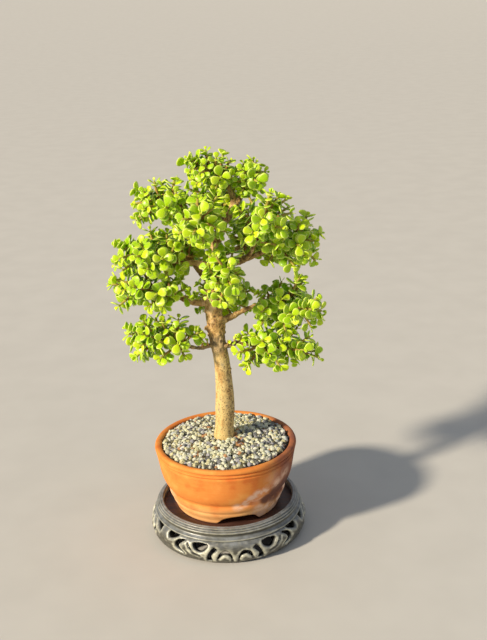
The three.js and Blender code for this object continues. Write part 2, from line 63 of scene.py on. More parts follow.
class Slot(Enum):
    """The material slots."""

    STAND = "wood_stand"
    PANEL = "wood_panel"
    CLAY = "clay"
    PLASTIC = "plastic"
    STONES = "stones"
    BARK = "bark"
    LEAVES = "leaves"


# Numbers and noise


class Dice:
    """The repeatable stream of random numbers that places the tree's twigs and leaves."""

    def __init__(self, seed: int) -> None:
        """Starts the stream.

        Args:
            seed: the first state.
        """
        self.state = seed

    def between(self, low: float, high: float) -> float:
        """The next number, from low to high."""
        self.state = (self.state * 1664525 + 1013904223) % 2**32
        return low + (high - low) * self.state / 2**32


def lattice_noise(points: Array, size: float, seed: int = 0) -> Array:
    """Smooth noise from -1 to 1.

    Each corner of a cubic lattice has a hashed number, and a point's value is their blend by
    3t² - 2t³ along each axis.

    Args:
        points: places, one row each.
        size: edge of a lattice cell, in the points' unit.
        seed: picks another noise.

    Returns:
        One value for each point.
    """
    cell = points / size
    base = np.floor(cell)
    part = cell - base
    part = part * part * (3 - 2 * part)
    base = (base + 2**20).astype(np.uint64)
    total = np.zeros(len(points))
    for corner in itertools.product((0, 1), repeat=3):
        x, y, z = (base + np.array(corner, np.uint64)).T
        key = x * np.uint64(73856093) ^ y * np.uint64(19349663) ^ z * np.uint64(83492791)
        key = (key + np.uint64(seed * 7919)) * np.uint64(2654435761)
        key = (key ^ (key >> np.uint64(29))) * np.uint64(1274126177)
        value = ((key >> np.uint64(20)) & np.uint64(0xFFFF)).astype(float) / 32767.5 - 1
        total += value * np.prod(np.where(corner, part, 1 - part), axis=1)
    return total


def layered_noise(points: Array, size: float, layers: int, seed: int = 0) -> Array:
    """Noise in layers, each half the size and half the height of the last."""
    return sum(lattice_noise(points, size / 2**k, seed + k) / 2**k for k in range(layers))


def unit(vectors: Array) -> Array:
    """Vectors brought to length 1, along the last axis."""
    return vectors / np.linalg.norm(vectors, axis=-1, keepdims=True)


# Curves


class Curve:
    """A curve that is read at shares of its parameter, from 0 to 1."""

    def at(self, shares: Array) -> Array:
        """Places on the curve, one row for each share."""
        raise NotImplementedError

    def spot(self, share: float) -> Array:
        """One place on the curve."""
        return self.at(np.array([share]))[0]

    def tangents(self, shares: Array) -> Array:
        """Unit directions: the difference of two places a little before and after each share."""
        step = 1e-4
        return unit(self.at(np.minimum(shares + step, 1)) - self.at(np.maximum(shares - step, 0)))

    def heading(self, share: float) -> Array:
        """The unit direction at one place."""
        return self.tangents(np.array([share]))[0]

    def lengths(self, steps: int = 200) -> Array:
        """The length run through at each of the equal steps of the parameter."""
        chords = np.diff(self.at(np.linspace(0, 1, steps + 1)), axis=0)
        return np.concatenate([[0.0], np.cumsum(np.linalg.norm(chords, axis=1))])

    def share_at(self, run: float) -> float:
        """The share of the parameter at a share of the length."""
        lengths = self.lengths()
        return float(np.interp(run * lengths[-1], lengths, np.linspace(0, 1, len(lengths))))


class Through(Curve):
    """A centripetal Catmull-Rom curve through places, in any number of dimensions."""

    def __init__(self, places: Array) -> None:
        """Adds a mirrored place before the first and after the last.

        Args:
            places: one row each.
        """
        p = np.asarray(places, float)
        self.p = np.concatenate([[2 * p[0] - p[1]], p, [2 * p[-1] - p[-2]]])

    def at(self, shares: Array) -> Array:
        """Cubic between two places, its slopes from the square roots of the chords round them."""
        spans = len(self.p) - 3
        run = np.clip(np.asarray(shares, float), 0, 1) * spans
        i = np.minimum(np.floor(run).astype(int), spans - 1)
        t = (run - i)[:, None]
        p0, p1, p2, p3 = (self.p[i + k] for k in range(4))
        d0, d1, d2 = (
            np.sqrt(np.linalg.norm(b - a, axis=1))[:, None] for a, b in ((p0, p1), (p1, p2), (p2, p3))
        )
        s1 = d1 * ((p1 - p0) / d0 - (p2 - p0) / (d0 + d1) + (p2 - p1) / d1)
        s2 = d1 * ((p2 - p1) / d1 - (p3 - p1) / (d1 + d2) + (p3 - p2) / d2)
        cubic = 2 * p1 - 2 * p2 + s1 + s2
        square = 3 * p2 - 3 * p1 - 2 * s1 - s2
        return p1 + s1 * t + square * t**2 + cubic * t**3


class Bend(Curve):
    """A quadratic Bézier curve: a start, a place that it leans towards, and an end."""

    def __init__(self, start: Array, lean: Array, end: Array) -> None:
        """Keeps its three places."""
        self.places = (start, lean, end)

    def at(self, shares: Array) -> Array:
        """(1-t)² start + 2t(1-t) lean + t² end."""
        t = np.asarray(shares, float)[:, None]
        start, lean, end = self.places
        return (1 - t) ** 2 * start + 2 * t * (1 - t) * lean + t**2 * end


def flow(start: Flat, *strokes: list[Flat], per: int = 6) -> Array:
    """An outline of smooth strokes with a corner where two strokes meet.

    Args:
        start: the first place.
        strokes: the further places of each stroke, which goes on from the end of the one before; a
            stroke with one further place is a straight line.
        per: how many points a stretch between two places gets.

    Returns:
        The points of the outline, without the last point of the last stroke.
    """
    runs = []
    for stroke in strokes:
        places = [start, *stroke]
        count = 1 if len(places) == 2 else per * (len(places) - 1)
        runs.append(Through(places).at(np.arange(count) / count))
        start = places[-1]
    return np.concatenate(runs)


# Meshes


def grid_faces(rows: int, columns: int, wrap_rows: bool = False, wrap_columns: bool = True) -> Array:
    """Four-sided faces between the points of a grid that is numbered row by row.

    Args:
        rows: number of rows.
        columns: number of points in a row.
        wrap_rows: the last row joins the first.
        wrap_columns: the last column joins the first.

    Returns:
        Corner numbers, one row for each face.
    """
    r, c = np.meshgrid(
        np.arange(rows if wrap_rows else rows - 1),
        np.arange(columns if wrap_columns else columns - 1),
        indexing="ij",
    )
    r2, c2 = (r + 1) % rows, (c + 1) % columns
    corners = (r * columns + c, r * columns + c2, r2 * columns + c2, r2 * columns + c)
    return np.stack(corners, axis=-1).reshape(-1, 4)


def fan_faces(hub: int, ring: Array, flip: bool) -> Array:
    """Triangles from a hub to each side of a closed ring of points.

    Args:
        hub: the number of the point in the middle.
        ring: the numbers of the points round it.
        flip: whether the ring runs clockwise, seen from outside.

    Returns:
        Corner numbers, one row for each triangle.
    """
    following = np.roll(ring, -1)
    hubs = np.full(len(ring), hub)
    order = (hubs, following, ring) if flip else (hubs, ring, following)
    return np.stack(order, axis=-1)


class Shape:
    """Points, faces and point values that are gathered into one mesh."""

    def __init__(self) -> None:
        """Starts empty."""
        self.points: list[Array] = []
        self.faces: list[Array] = []
        self.values: dict[str, list[Array]] = {}
        self.count = 0

    def add(self, points: Array, faces: list[Array], **values: Array) -> None:
        """Adds a part.

        Args:
            points: places in mm, one row each.
            faces: arrays of three or four corner numbers, counted within this part.
            values: named values of the part's points, the same names for every part.
        """
        self.points.append(points)
        self.faces += [corners + self.count for corners in faces]
        for name, numbers in values.items():
            self.values.setdefault(name, []).append(np.broadcast_to(numbers, len(points)))
        self.count += len(points)

    def to_object(self, name: str, material: Material | None, smooth: bool = True) -> Object:
        """Makes the mesh and its object.

        Args:
            name: the piece's name.
            material: its finish.
            smooth: whether the faces are shaded smooth.

        Returns:
            The new object, at the origin.
        """
        mesh = bpy.data.meshes.new(name)
        corners = np.concatenate([f.ravel() for f in self.faces])
        sizes = np.concatenate([np.full(len(f), f.shape[1]) for f in self.faces])
        mesh.vertices.add(self.count)
        mesh.loops.add(len(corners))
        mesh.polygons.add(len(sizes))
        mesh.vertices.foreach_set("co", (np.concatenate(self.points) * MM).ravel())
        mesh.loops.foreach_set("vertex_index", corners.astype(np.int32))
        mesh.polygons.foreach_set("loop_start", (np.cumsum(sizes) - sizes).astype(np.int32))
        mesh.polygons.foreach_set("use_smooth", np.full(len(sizes), smooth))
        for key, parts in self.values.items():
            layer = mesh.attributes.new(key, "FLOAT", "POINT")
            layer.data.foreach_set("value", np.concatenate(parts).astype(np.float32))
        mesh.update(calc_edges=True)
        mesh.validate()
        if material:
            mesh.materials.append(material)
        made = bpy.data.objects.new(name, mesh)
        bpy.context.scene.collection.objects.link(made)
        return made


def tube(path: Array, radii: Array, sides: int, reference: Array | None = None) -> tuple[Array, list[Array]]:
    """A round bar along a path, closed at both ends.

    Each ring lies across the path: centre + radius (cos a · u + sin a · v), with u and v square to the
    path's direction.

    Args:
        path: centres of the rings.
        radii: one for each ring, or one for each ring and side.
        sides: points in a ring.
        reference: a direction that u leans towards, or None for the axis that the path follows least.

    Returns:
        Points and faces.
    """
    along = unit(np.gradient(path, axis=0))
    if reference is None:
        reference = np.eye(3)[np.argmin(np.abs(along).mean(axis=0))]
    u = unit(reference - (along @ reference)[:, None] * along)
    v = np.cross(along, u)
    angles = np.arange(sides) * 2 * math.pi / sides
    radii = np.broadcast_to(radii if np.ndim(radii) == 2 else radii[:, None], (len(path), sides))
    spread = np.cos(angles)[None, :, None] * u[:, None] + np.sin(angles)[None, :, None] * v[:, None]
    rings = path[:, None] + radii[..., None] * spread
    points = np.concatenate([rings.reshape(-1, 3), path[:1], path[-1:]])
    ring = np.arange(sides)
    last = (len(path) - 1) * sides
    faces = [
        grid_faces(len(path), sides),
        fan_faces(len(points) - 2, ring, True),
        fan_faces(len(points) - 1, last + ring, False),
    ]
    return points, faces


def turned(profile: Array, segments: int) -> tuple[Array, list[Array]]:
    """A turned solid: an outline of radius and height spun about the Z axis.

    An outline that starts and ends on the axis is closed there by fans. Any other closes on itself.

    Args:
        profile: radius and height of each point, up along the outside and back down inside.
        segments: steps round the axis.

    Returns:
        Points and faces.
    """
    angles = np.arange(segments) * 2 * math.pi / segments
    solid = profile[0, 0] < 1e-6
    rows = profile[1:-1] if solid else profile
    ring = np.stack([np.cos(angles), np.sin(angles)], axis=-1)
    walls = np.concatenate(
        [rows[:, None, :1] * ring[None], np.broadcast_to(rows[:, None, 1:], (len(rows), segments, 1))],
        axis=-1,
    ).reshape(-1, 3)
    faces = [grid_faces(len(rows), segments, wrap_rows=not solid)]
    if not solid:
        return walls, faces
    poles = np.array([[0, 0, profile[0, 1]], [0, 0, profile[-1, 1]]])
    count = len(walls)
    faces.append(fan_faces(count, np.arange(segments), True))
    faces.append(fan_faces(count + 1, count - segments + np.arange(segments), False))
    return np.concatenate([walls, poles]), faces


def ball() -> tuple[Array, Array]:
    """A coarse ball: the 26 outer points of a 3 by 3 by 3 lattice, drawn in towards a sphere.

    Returns:
        Points at about unit distance, and the corner numbers of the 24 faces, turned outwards.
    """
    lattice = [p for p in itertools.product((-1, 0, 1), repeat=3) if any(p)]
    number = {p: i for i, p in enumerate(lattice)}
    points = np.array(lattice, float)
    faces = []
    for axis, side, a, b in itertools.product(range(3), (-1, 1), (-1, 0), (-1, 0)):
        corners = []
        for u, v in ((a, b), (a + 1, b), (a + 1, b + 1), (a, b + 1)):
            place = [0, 0, 0]
            place[axis] = side
            place[(axis + 1) % 3] = u
            place[(axis + 2) % 3] = v
            corners.append(number[tuple(place)])
        faces.append(corners if side > 0 else corners[::-1])
    return points / np.linalg.norm(points, axis=1)[:, None] ** 0.85, np.array(faces)


def settle(made: Object) -> None:
    """Applies an object's modifiers to its mesh.

    Args:
        made: the object.
    """
    graph = bpy.context.evaluated_depsgraph_get()
    done = bpy.data.meshes.new_from_object(made.evaluated_get(graph))
    made.modifiers.clear()
    old = made.data
    made.data = done
    bpy.data.meshes.remove(old)


def refine(made: Object, voxel: float, smoothing: int, keep: float = 1.0) -> None:
    """Fuses a mesh's crossing parts in cubes of one size and rounds its edges.

    Args:
        made: the object.
        voxel: edge of a cube in mm.
        smoothing: rounds of smoothing.
        keep: the share of the faces that is kept, fewest where the surface is flat.
    """
    remesh = made.modifiers.new("fuse", "REMESH")
    remesh.mode = "VOXEL"
    remesh.voxel_size = voxel * MM
    remesh.use_smooth_shade = True
    rounding = made.modifiers.new("round", "SMOOTH")
    rounding.factor = 0.5
    rounding.iterations = smoothing
    if keep < 1:
        fewer = made.modifiers.new("fewer", "DECIMATE")
        fewer.ratio = keep
    settle(made)
    made.data.polygons.foreach_set("use_smooth", np.ones(len(made.data.polygons), bool))


def vertex_arrays(made: Object) -> tuple[Array, Array]:
    """Reads an object's points.

    Args:
        made: the object.

    Returns:
        Places in mm and unit normals, one row for each point.
    """
    mesh = made.data
    places = np.zeros(len(mesh.vertices) * 3)
    normals = np.zeros(len(mesh.vertices) * 3)
    mesh.vertices.foreach_get("co", places)
    mesh.vertices.foreach_get("normal", normals)
    return places.reshape(-1, 3) / MM, normals.reshape(-1, 3)


def edge_and_hollow(made: Object, reach: float, rounds: int = 2) -> Array:
    """How far each point stands out of its surroundings, from 0, in a corner, to 1, on an edge.

    The mean of a point's neighbours is set against the point along its normal, and the result is
    spread to the neighbours a few times.

    Args:
        made: the object.
        reach: the height in mm that counts as a full edge.
        rounds: how often it is spread.

    Returns:
        One value for each point.
    """
    places, normals = vertex_arrays(made)
    pairs = np.zeros(len(made.data.edges) * 2, np.int32)
    made.data.edges.foreach_get("vertices", pairs)
    a, b = pairs.reshape(-1, 2).T
    share = 1 / np.maximum(np.bincount(pairs, minlength=len(places)), 1)

    def around(values: Array) -> Array:
        """Mean over each point's neighbours."""
        total = np.bincount(a, values[b], len(places)) + np.bincount(b, values[a], len(places))
        return total * share

    middle = np.stack([around(column) for column in places.T], axis=-1)
    height = np.einsum("ij,ij->i", places - middle, normals) / reach
    for _ in range(rounds):
        height = 0.5 * height + 0.5 * around(height)
    return np.clip(0.5 + 0.5 * height, 0, 1)


def place_points(made: Object, places: Array, **values: Array) -> None:
    """Moves an object's points and stores named values on them.

    Args:
        made: the object.
        places: the new places in mm, one row for each point.
        values: named values, one number for each point.
    """
    made.data.vertices.foreach_set("co", (places * MM).ravel())
    for key, numbers in values.items():
        layer = made.data.attributes.new(key, "FLOAT", "POINT")
        layer.data.foreach_set("value", numbers.astype(np.float32))
    made.data.update()


# Finishes


def colour(code: str) -> tuple[float, float, float, float]:
    """The linear colour that shaders take.

    Args:
        code: a web colour code of six digits.

    Returns:
        Red, green, blue and an opacity of 1.
    """
    parts = [int(code[i : i + 2], 16) / 255 for i in (0, 2, 4)]
    linear = [c / 12.92 if c <= 0.04045 else ((c + 0.055) / 1.055) ** 2.4 for c in parts]
    return (*linear, 1.0)


class Recipe:
    """A material that is written as calls, each of which adds a node and returns its output."""

    def __init__(self, name: str) -> None:
        """Starts with a Principled shader.

        Args:
            name: the material's name.
        """
        self.material = bpy.data.materials.new(name)
        self.material.use_nodes = True
        self.tree = self.material.node_tree
        self.tree.nodes.clear()
        self.shader = self.tree.nodes.new("ShaderNodeBsdfPrincipled")
        out = self.tree.nodes.new("ShaderNodeOutputMaterial")
        self.tree.links.new(self.shader.outputs[0], out.inputs[0])
        self.place = self.tree.nodes.new("ShaderNodeTexCoord").outputs["Object"]

    def node(
        self, kind: str, inputs: dict[str | int, object], output: str | int = 0, **settings: object
    ) -> Socket:
        """Adds a node.

        Args:
            kind: its type, without the ShaderNode in front.
            inputs: a value or another node's output for each input that is set.
            output: which of its outputs is returned.
            settings: its properties.

        Returns:
            That output.
        """
        made = self.tree.nodes.new("ShaderNode" + kind)
        for key, value in settings.items():
            setattr(made, key, value)
        for key, value in inputs.items():
            self.put(made.inputs[key], value)
        return made.outputs[output]

    def put(self, target: Socket, value: object) -> None:
        """Links an output to an input, or sets the input's value.

        Args:
            target: the input.
            value: an output, a number or a colour.
        """
        if isinstance(value, bpy.types.NodeSocket):
            self.tree.links.new(value, target)
        else:
            target.default_value = value

    def set(self, **inputs: object) -> None:
        """Sets inputs of the shader, with an underscore for each space in an input's name."""
        for key, value in inputs.items():
            self.put(self.shader.inputs[key.replace("_", " ")], value)

    def value(self, name: str) -> Socket:
        """A named value of the mesh's points."""
        return self.node("Attribute", {}, "Fac", attribute_name=name)

    def stretched(self, x: float, y: float, z: float) -> Socket:
        """The place, with each axis scaled."""
        return self.node("Mapping", {"Vector": self.place, "Scale": (x, y, z)})

    def noise(
        self, size: float, detail: float = 3, place: Socket | None = None, rough: float = 0.55
    ) -> Socket:
        """Noise from 0 to 1.

        Args:
            size: of its features, in mm.
            detail: how many finer layers it has.
            place: where it is read, or None for the place on the object.
            rough: how strong the finer layers are.

        Returns:
            The noise.
        """
        scale = 1 / (size * MM)
        inputs = {"Vector": place or self.place, "Scale": scale, "Detail": detail, "Roughness": rough}
        return self.node("TexNoise", inputs, "Fac")

    def cells(self, size: float, place: Socket | None = None) -> Socket:
        """Distance from the nearest middle in a pattern of cells of a size in mm."""
        inputs = {"Vector": place or self.place, "Scale": 1 / (size * MM)}
        return self.node("TexVoronoi", inputs, "Distance")

    def axis(self, name: str) -> Socket:
        """One coordinate of the place in metres."""
        return self.node("SeparateXYZ", {0: self.place}, name)

    def span(self, value: Socket, low: float, high: float, start: float = 0, end: float = 1) -> Socket:
        """A value taken from one range to another and held within it."""
        inputs = {"Value": value, "From Min": low, "From Max": high, "To Min": start, "To Max": end}
        return self.node("MapRange", inputs, interpolation_type="SMOOTHSTEP")

    def ramp(self, value: Socket, stops: dict[float, str], steps: bool = False) -> Socket:
        """Colours by a value from 0 to 1.

        Args:
            value: the value.
            stops: a web colour code at each stop.
            steps: whether each colour holds up to the next stop.

        Returns:
            The colour.
        """
        made = self.tree.nodes.new("ShaderNodeValToRGB")
        band = made.color_ramp
        band.interpolation = "CONSTANT" if steps else "EASE"
        for _ in range(len(stops) - 2):
            band.elements.new(0.5)
        for element, (position, code) in zip(band.elements, sorted(stops.items())):
            element.position = position
            element.color = colour(code)
        self.put(made.inputs[0], value)
        return made.outputs[0]

    def mix(self, factor: Value, first: Socket | str, second: Socket | str, blend: str = "MIX") -> Socket:
        """Two colours mixed.

        Args:
            factor: the share of the second colour.
            first: an output or a web colour code.
            second: the same.
            blend: how the second colour acts on the first.

        Returns:
            The mixed colour.
        """
        made = self.tree.nodes.new("ShaderNodeMix")
        made.data_type = "RGBA"
        made.blend_type = blend
        for index, part in ((0, factor), (6, first), (7, second)):
            self.put(made.inputs[index], colour(part) if isinstance(part, str) else part)
        return made.outputs[2]

    def times(self, first: Value, second: Value) -> Socket:
        """Two values multiplied."""
        return self.node("Math", {0: first, 1: second}, operation="MULTIPLY")

    def plus(self, first: Value, second: Value) -> Socket:
        """Two values added."""
        return self.node("Math", {0: first, 1: second}, operation="ADD")

    def larger(self, first: Value, second: Value) -> Socket:
        """The larger of two values."""
        return self.node("Math", {0: first, 1: second}, operation="MAXIMUM")

    def spot(self, x: float, y: float, z: float, radius: float) -> Socket:
        """From 1 at a place down to 0 at a distance from it, in mm."""
        inputs = {0: self.place, 1: (x * MM, y * MM, z * MM)}
        return self.span(self.node("VectorMath", inputs, "Value", operation="DISTANCE"), radius * MM, 0)

    def bump(self, height: Socket, depth: float, strength: float = 1.0) -> None:
        """Relief from a height, whose full range is a depth in mm."""
        inputs = {"Height": height, "Distance": depth * MM, "Strength": strength}
        self.set(Normal=self.node("Bump", inputs))


@dataclass(frozen=True)
class LeafFinish:
    """Fleshy green leaves, yellower where they are young, with a paler edge that is a painted highlight of
    light catching the thick rim.
    """

    old: str = "6ca004"
    ripe: str = "9dc50a"
    young: str = "c8e11c"
    margin: str = "e6f286"
    foot: str = "cfce50"

    def make(self) -> Material:
        """Mixes old to young by each leaf's tone, with a pale edge of painted highlight, a pale foot and
        faint mottling.
        """
        r = Recipe("fleshy_leaf")
        body = r.ramp(r.value("tone"), {0.0: self.old, 0.45: self.ripe, 1.0: self.young})
        mottle = r.noise(1.6, 4)
        body = r.mix(r.span(mottle, 0.35, 0.75, 0, 0.25), body, self.margin, "SOFT_LIGHT")
        # painted highlight: a pale band along each leaf's edge, where light catches the thick rim
        rim = r.times(r.span(r.value("rim"), 0.35, 0.95), 0.7)
        body = r.mix(rim, body, self.margin)
        foot = r.times(r.span(r.value("along"), 0.22, 0.0), 0.7)
        r.set(Base_Color=r.mix(foot, body, self.foot))
        r.set(Roughness=r.span(r.noise(2.5, 2), 0.3, 0.8, 0.3, 0.46))
        r.set(Subsurface_Weight=0.3, Subsurface_Radius=(0.8, 1.0, 0.15), Subsurface_Scale=0.0035)
        r.set(Specular_IOR_Level=0.4, Coat_Weight=0.06, Coat_Roughness=0.25)
        r.bump(r.noise(0.7, 3), 0.05, 0.5)
        return r.material


@dataclass(frozen=True)
class TwigFinish:
    """Young stems: yellow-green and reddish at the tip, tan and brown with age."""

    tip: str = "a9a545"
    middle: str = "b98a4a"
    root: str = "9a7645"
    stain: str = "6d4a2c"

    def make(self) -> Material:
        """Mixes by age, with darker stains and fine lengthwise wrinkles."""
        r = Recipe("young_stem")
        body = r.ramp(r.value("age"), {0.0: self.tip, 0.35: self.middle, 1.0: self.root})
        stain = r.span(r.noise(2.2, 4), 0.52, 0.72, 0, 0.7)
        r.set(Base_Color=r.mix(stain, body, self.stain), Roughness=0.72)
        r.bump(r.noise(0.8, 4), 0.25, 0.7)
        return r.material


@dataclass(frozen=True)
class BarkFinish:
    """Golden tan bark with dark pores below, rougher and browner above, with grey patches, darker towards +X
    and in its hollows with painted shade.
    """

    light: str = "dec282"
    tan: str = "bd965a"
    brown: str = "755230"
    dark: str = "3a2816"
    grey: str = "a89d80"
    flake: str = "ecc993"
    collar: str = "75674e"
    # heights and sides in metres between which the bark's parts fade in
    rough_z: Flat = (0.262, 0.3)
    collar_foot_z: Flat = (0.266, 0.278)
    collar_top_z: Flat = (0.302, 0.29)
    # pores and brown mottle grow towards +X, the side away from the light: partly real bark, partly painted
    # shade
    pored_shade_side_x: Flat = (-0.008, 0.008)
    mottled_shade_side_x: Flat = (-0.004, 0.01)

    def make(self) -> Material:
        """Mixes by relief, pores and height, with a dull old collar under the lowest branches and painted
        shade towards +X and in the hollows.
        """
        r = Recipe("bark")
        broad = r.noise(9, 4, r.stretched(1, 1, 0.45))
        body = r.ramp(broad, {0.3: self.tan, 0.55: self.light, 0.8: self.grey})
        height = r.span(r.axis("Z"), *self.rough_z)
        older = r.ramp(r.noise(5, 5), {0.28: self.brown, 0.5: self.tan, 0.75: self.light})
        body = r.mix(height, body, older)
        band = r.times(r.span(r.axis("Z"), *self.collar_foot_z), r.span(r.axis("Z"), *self.collar_top_z))
        band = r.times(band, r.span(r.noise(6, 4), 0.3, 0.6, 0.45, 0.9))
        body = r.mix(band, body, self.collar)
        pores = r.span(r.cells(2.3, place=r.stretched(1, 1, 0.8)), 0.38, 0.16)
        # painted shade: darker pores and brown mottle towards +X, the side away from the light
        shaded = r.span(r.axis("X"), *self.pored_shade_side_x, 0.2, 0.9)
        shade_side = r.span(r.axis("X"), *self.mottled_shade_side_x, 0, 0.6)
        mottle = r.times(r.span(r.noise(3.2, 4), 0.46, 0.62), shade_side)
        body = r.mix(mottle, body, self.brown)
        body = r.mix(r.times(pores, shaded), body, self.dark)
        # dark hollows of the relief on the upper trunk and towards +X: partly bark colour, partly painted
        # shade
        cracks_and_hollow_shade = r.times(r.span(r.value("relief"), 0.48, 0.14), r.larger(height, shaded))
        body = r.mix(r.times(cracks_and_hollow_shade, 0.9), body, self.dark)
        worn = r.span(r.value("relief"), 0.56, 0.84)
        body = r.mix(r.times(worn, 0.8), body, self.flake)
        r.set(Base_Color=body, Roughness=0.86)
        fine = r.plus(r.times(pores, -0.8), r.noise(0.9, 5))
        r.bump(fine, 0.7, 1.0)
        return r.material


@dataclass(frozen=True)
class ClayFinish:
    """Orange terracotta, yellower at the feet, with a pale bloom round a dark patch low on the right, and
    painted shade on the +X side and in the upper grooves.
    """

    clay: str = "e0873a"
    warm: str = "e79e50"
    dusk: str = "d4702a"
    bloom: str = "efcab0"
    shade: str = "7a4a3e"
    dark_patch: str = "5c3a32"
    straw: str = "f3bd7c"
    # heights and sides in metres between which its parts fade in
    pale_z: Flat = (0.078, 0.058)
    salty_z: Flat = (0.056, 0.043)
    grooved_z: Flat = (0.09, 0.11)
    shaded_x: Flat = (0.04, 0.086)
    # places and radii of the bloom's patches in mm, and how pale each is
    patches: tuple[tuple[float, float, float, float, float], ...] = (
        (26, -83, 79, 13, 1.0), (34, -83, 86, 13, 1.0), (43, -81, 92, 14, 1.0), (54, -76, 96, 13, 0.8),
        (16, -84, 74, 14, 0.8), (42, -68, 61, 17, 1.0), (58, -56, 60, 18, 1.0), (73, -32, 59, 18, 1.0),
        (79, -20, 66, 17, 1.0), (45, -60, 49, 20, 1.0), (62, -40, 47, 20, 0.8), (64, -72, 108, 30, 0.3),
        (44, -78, 84, 26, 0.5), (-30, -70, 46, 40, 0.15), (-76, -28, 66, 30, 0.5), (84, 6, 90, 50, 0.5),
        (-20, 84, 66, 40, 0.6), (80, -50, 104, 26, 0.5), (70, -64, 98, 20, 0.6), (62, -50, 54, 14, 0.9),
        (84, -22, 72, 18, 0.8),
    )
    # places and radii of the darker patches in mm
    dark_patches: tuple[tuple[float, float, float, float], ...] = (
        (67, -57, 80, 30), (78, -42, 86, 28), (54, -66, 77, 18),
    )

    def make(self) -> Material:
        """Mixes cloudy clay and turning lines, with bloom in patches low on the right round a dark one, and
        painted shade on the +X side and in the grooves.
        """
        r = Recipe("terracotta")
        cloud = r.noise(28, 5)
        body = r.ramp(cloud, {0.3: self.dusk, 0.5: self.clay, 0.72: self.warm})
        lines = r.noise(1.6, 2, r.stretched(0.03, 0.03, 1))
        body = r.mix(r.span(lines, 0.35, 0.75, 0, 0.22), body, self.warm)
        torn = r.noise(14, 6, r.stretched(1, 1, 1.6), 0.65)
        low = r.times(r.span(r.axis("Z"), *self.pale_z), r.span(cloud, 0.25, 0.6, 0.45, 0.85))
        body = r.mix(low, body, self.straw)
        # painted shade: the +X side, away from the light, turns mauve-brown
        side = r.times(r.span(r.axis("X"), *self.shaded_x), r.span(r.noise(20, 4), 0.3, 0.6, 0.62, 0.92))
        body = r.mix(side, body, self.shade)
        dark_patch: Value = 0.0
        for spot in self.dark_patches:
            dark_patch = r.larger(dark_patch, r.spot(*spot))
        dark_patch = r.times(r.span(dark_patch, 0.04, 0.75), r.span(torn, 0.22, 0.46))
        # darker brown patches low on the right
        body = r.mix(r.times(dark_patch, 0.92), body, self.dark_patch)
        reach = r.times(r.span(r.axis("Z"), *self.salty_z), 0.25)
        for x, y, z, radius, pale in self.patches:
            reach = r.larger(reach, r.times(r.spot(x, y, z, radius), pale))
        salt = r.times(r.span(reach, 0.05, 0.75), r.span(torn, 0.66, 0.44, 0.2, 1))
        speckle = r.span(r.noise(1.1, 3), 0.62, 0.75, 0, 0.22)
        salt = r.times(r.plus(salt, speckle), r.span(dark_patch, 0.1, 0.9, 0.88, 0.15))
        # painted shade in the grooves and hollows, strongest above 0.11 m
        upper = r.span(r.axis("Z"), *self.grooved_z, 0.2, 1)
        grooves = r.times(r.span(r.value("edge"), 0.44, 0.2, 0, 0.6), upper)
        body = r.mix(grooves, body, self.shade)
        r.set(Base_Color=r.mix(salt, body, self.bloom))
        r.set(Roughness=r.span(cloud, 0.3, 0.8, 0.74, 0.9), Specular_IOR_Level=0.35)
        height = r.plus(r.noise(0.9, 4), r.times(lines, 0.8))
        r.bump(height, 0.22, 0.6)
        return r.material


@dataclass(frozen=True)
class StoneFinish:
    """Mixed grit: cream, yellowish white, grey, blue-grey and a little orange-brown."""

    mottle: str = "90866a"
    shade: str = "5a5242"

    def make(self) -> Material:
        """Picks a colour for each grain by its kind, mottles it and darkens the sunk grains with painted
        shade.
        """
        r = Recipe("grit")
        kinds = {
            0.0: "dfe0c4", 0.2: "cbc69e", 0.36: "e6e6da", 0.5: "c5c7b6", 0.62: "d8d9c6", 0.72: "a09fa8",
            0.82: "c4cac8", 0.92: "b98a60", 0.95: "74767c",
        }
        body = r.ramp(r.value("kind"), kinds, steps=True)
        body = r.mix(r.span(r.noise(1.1, 4), 0.35, 0.7, 0, 0.35), body, self.mottle, "MULTIPLY")
        # painted shade on the grains that lie sunk between the others
        body = r.mix(r.times(r.value("sunk"), 0.85), body, self.shade, "MULTIPLY")
        r.set(Base_Color=body, Roughness=0.8)
        r.bump(r.noise(0.5, 3), 0.15, 0.6)
        return r.material


@dataclass(frozen=True)
class SoilFinish:
    """Damp dark grit under the top stones."""

    def make(self) -> Material:
        """Brown-black with pale specks."""
        r = Recipe("damp_grit")
        body = r.ramp(r.cells(2.6), {0.1: "3c372c", 0.45: "1d1913", 0.8: "0f0c09"})
        r.set(Base_Color=body, Roughness=0.95)
        r.bump(r.cells(2.6), 1.0, 0.8)
        return r.material


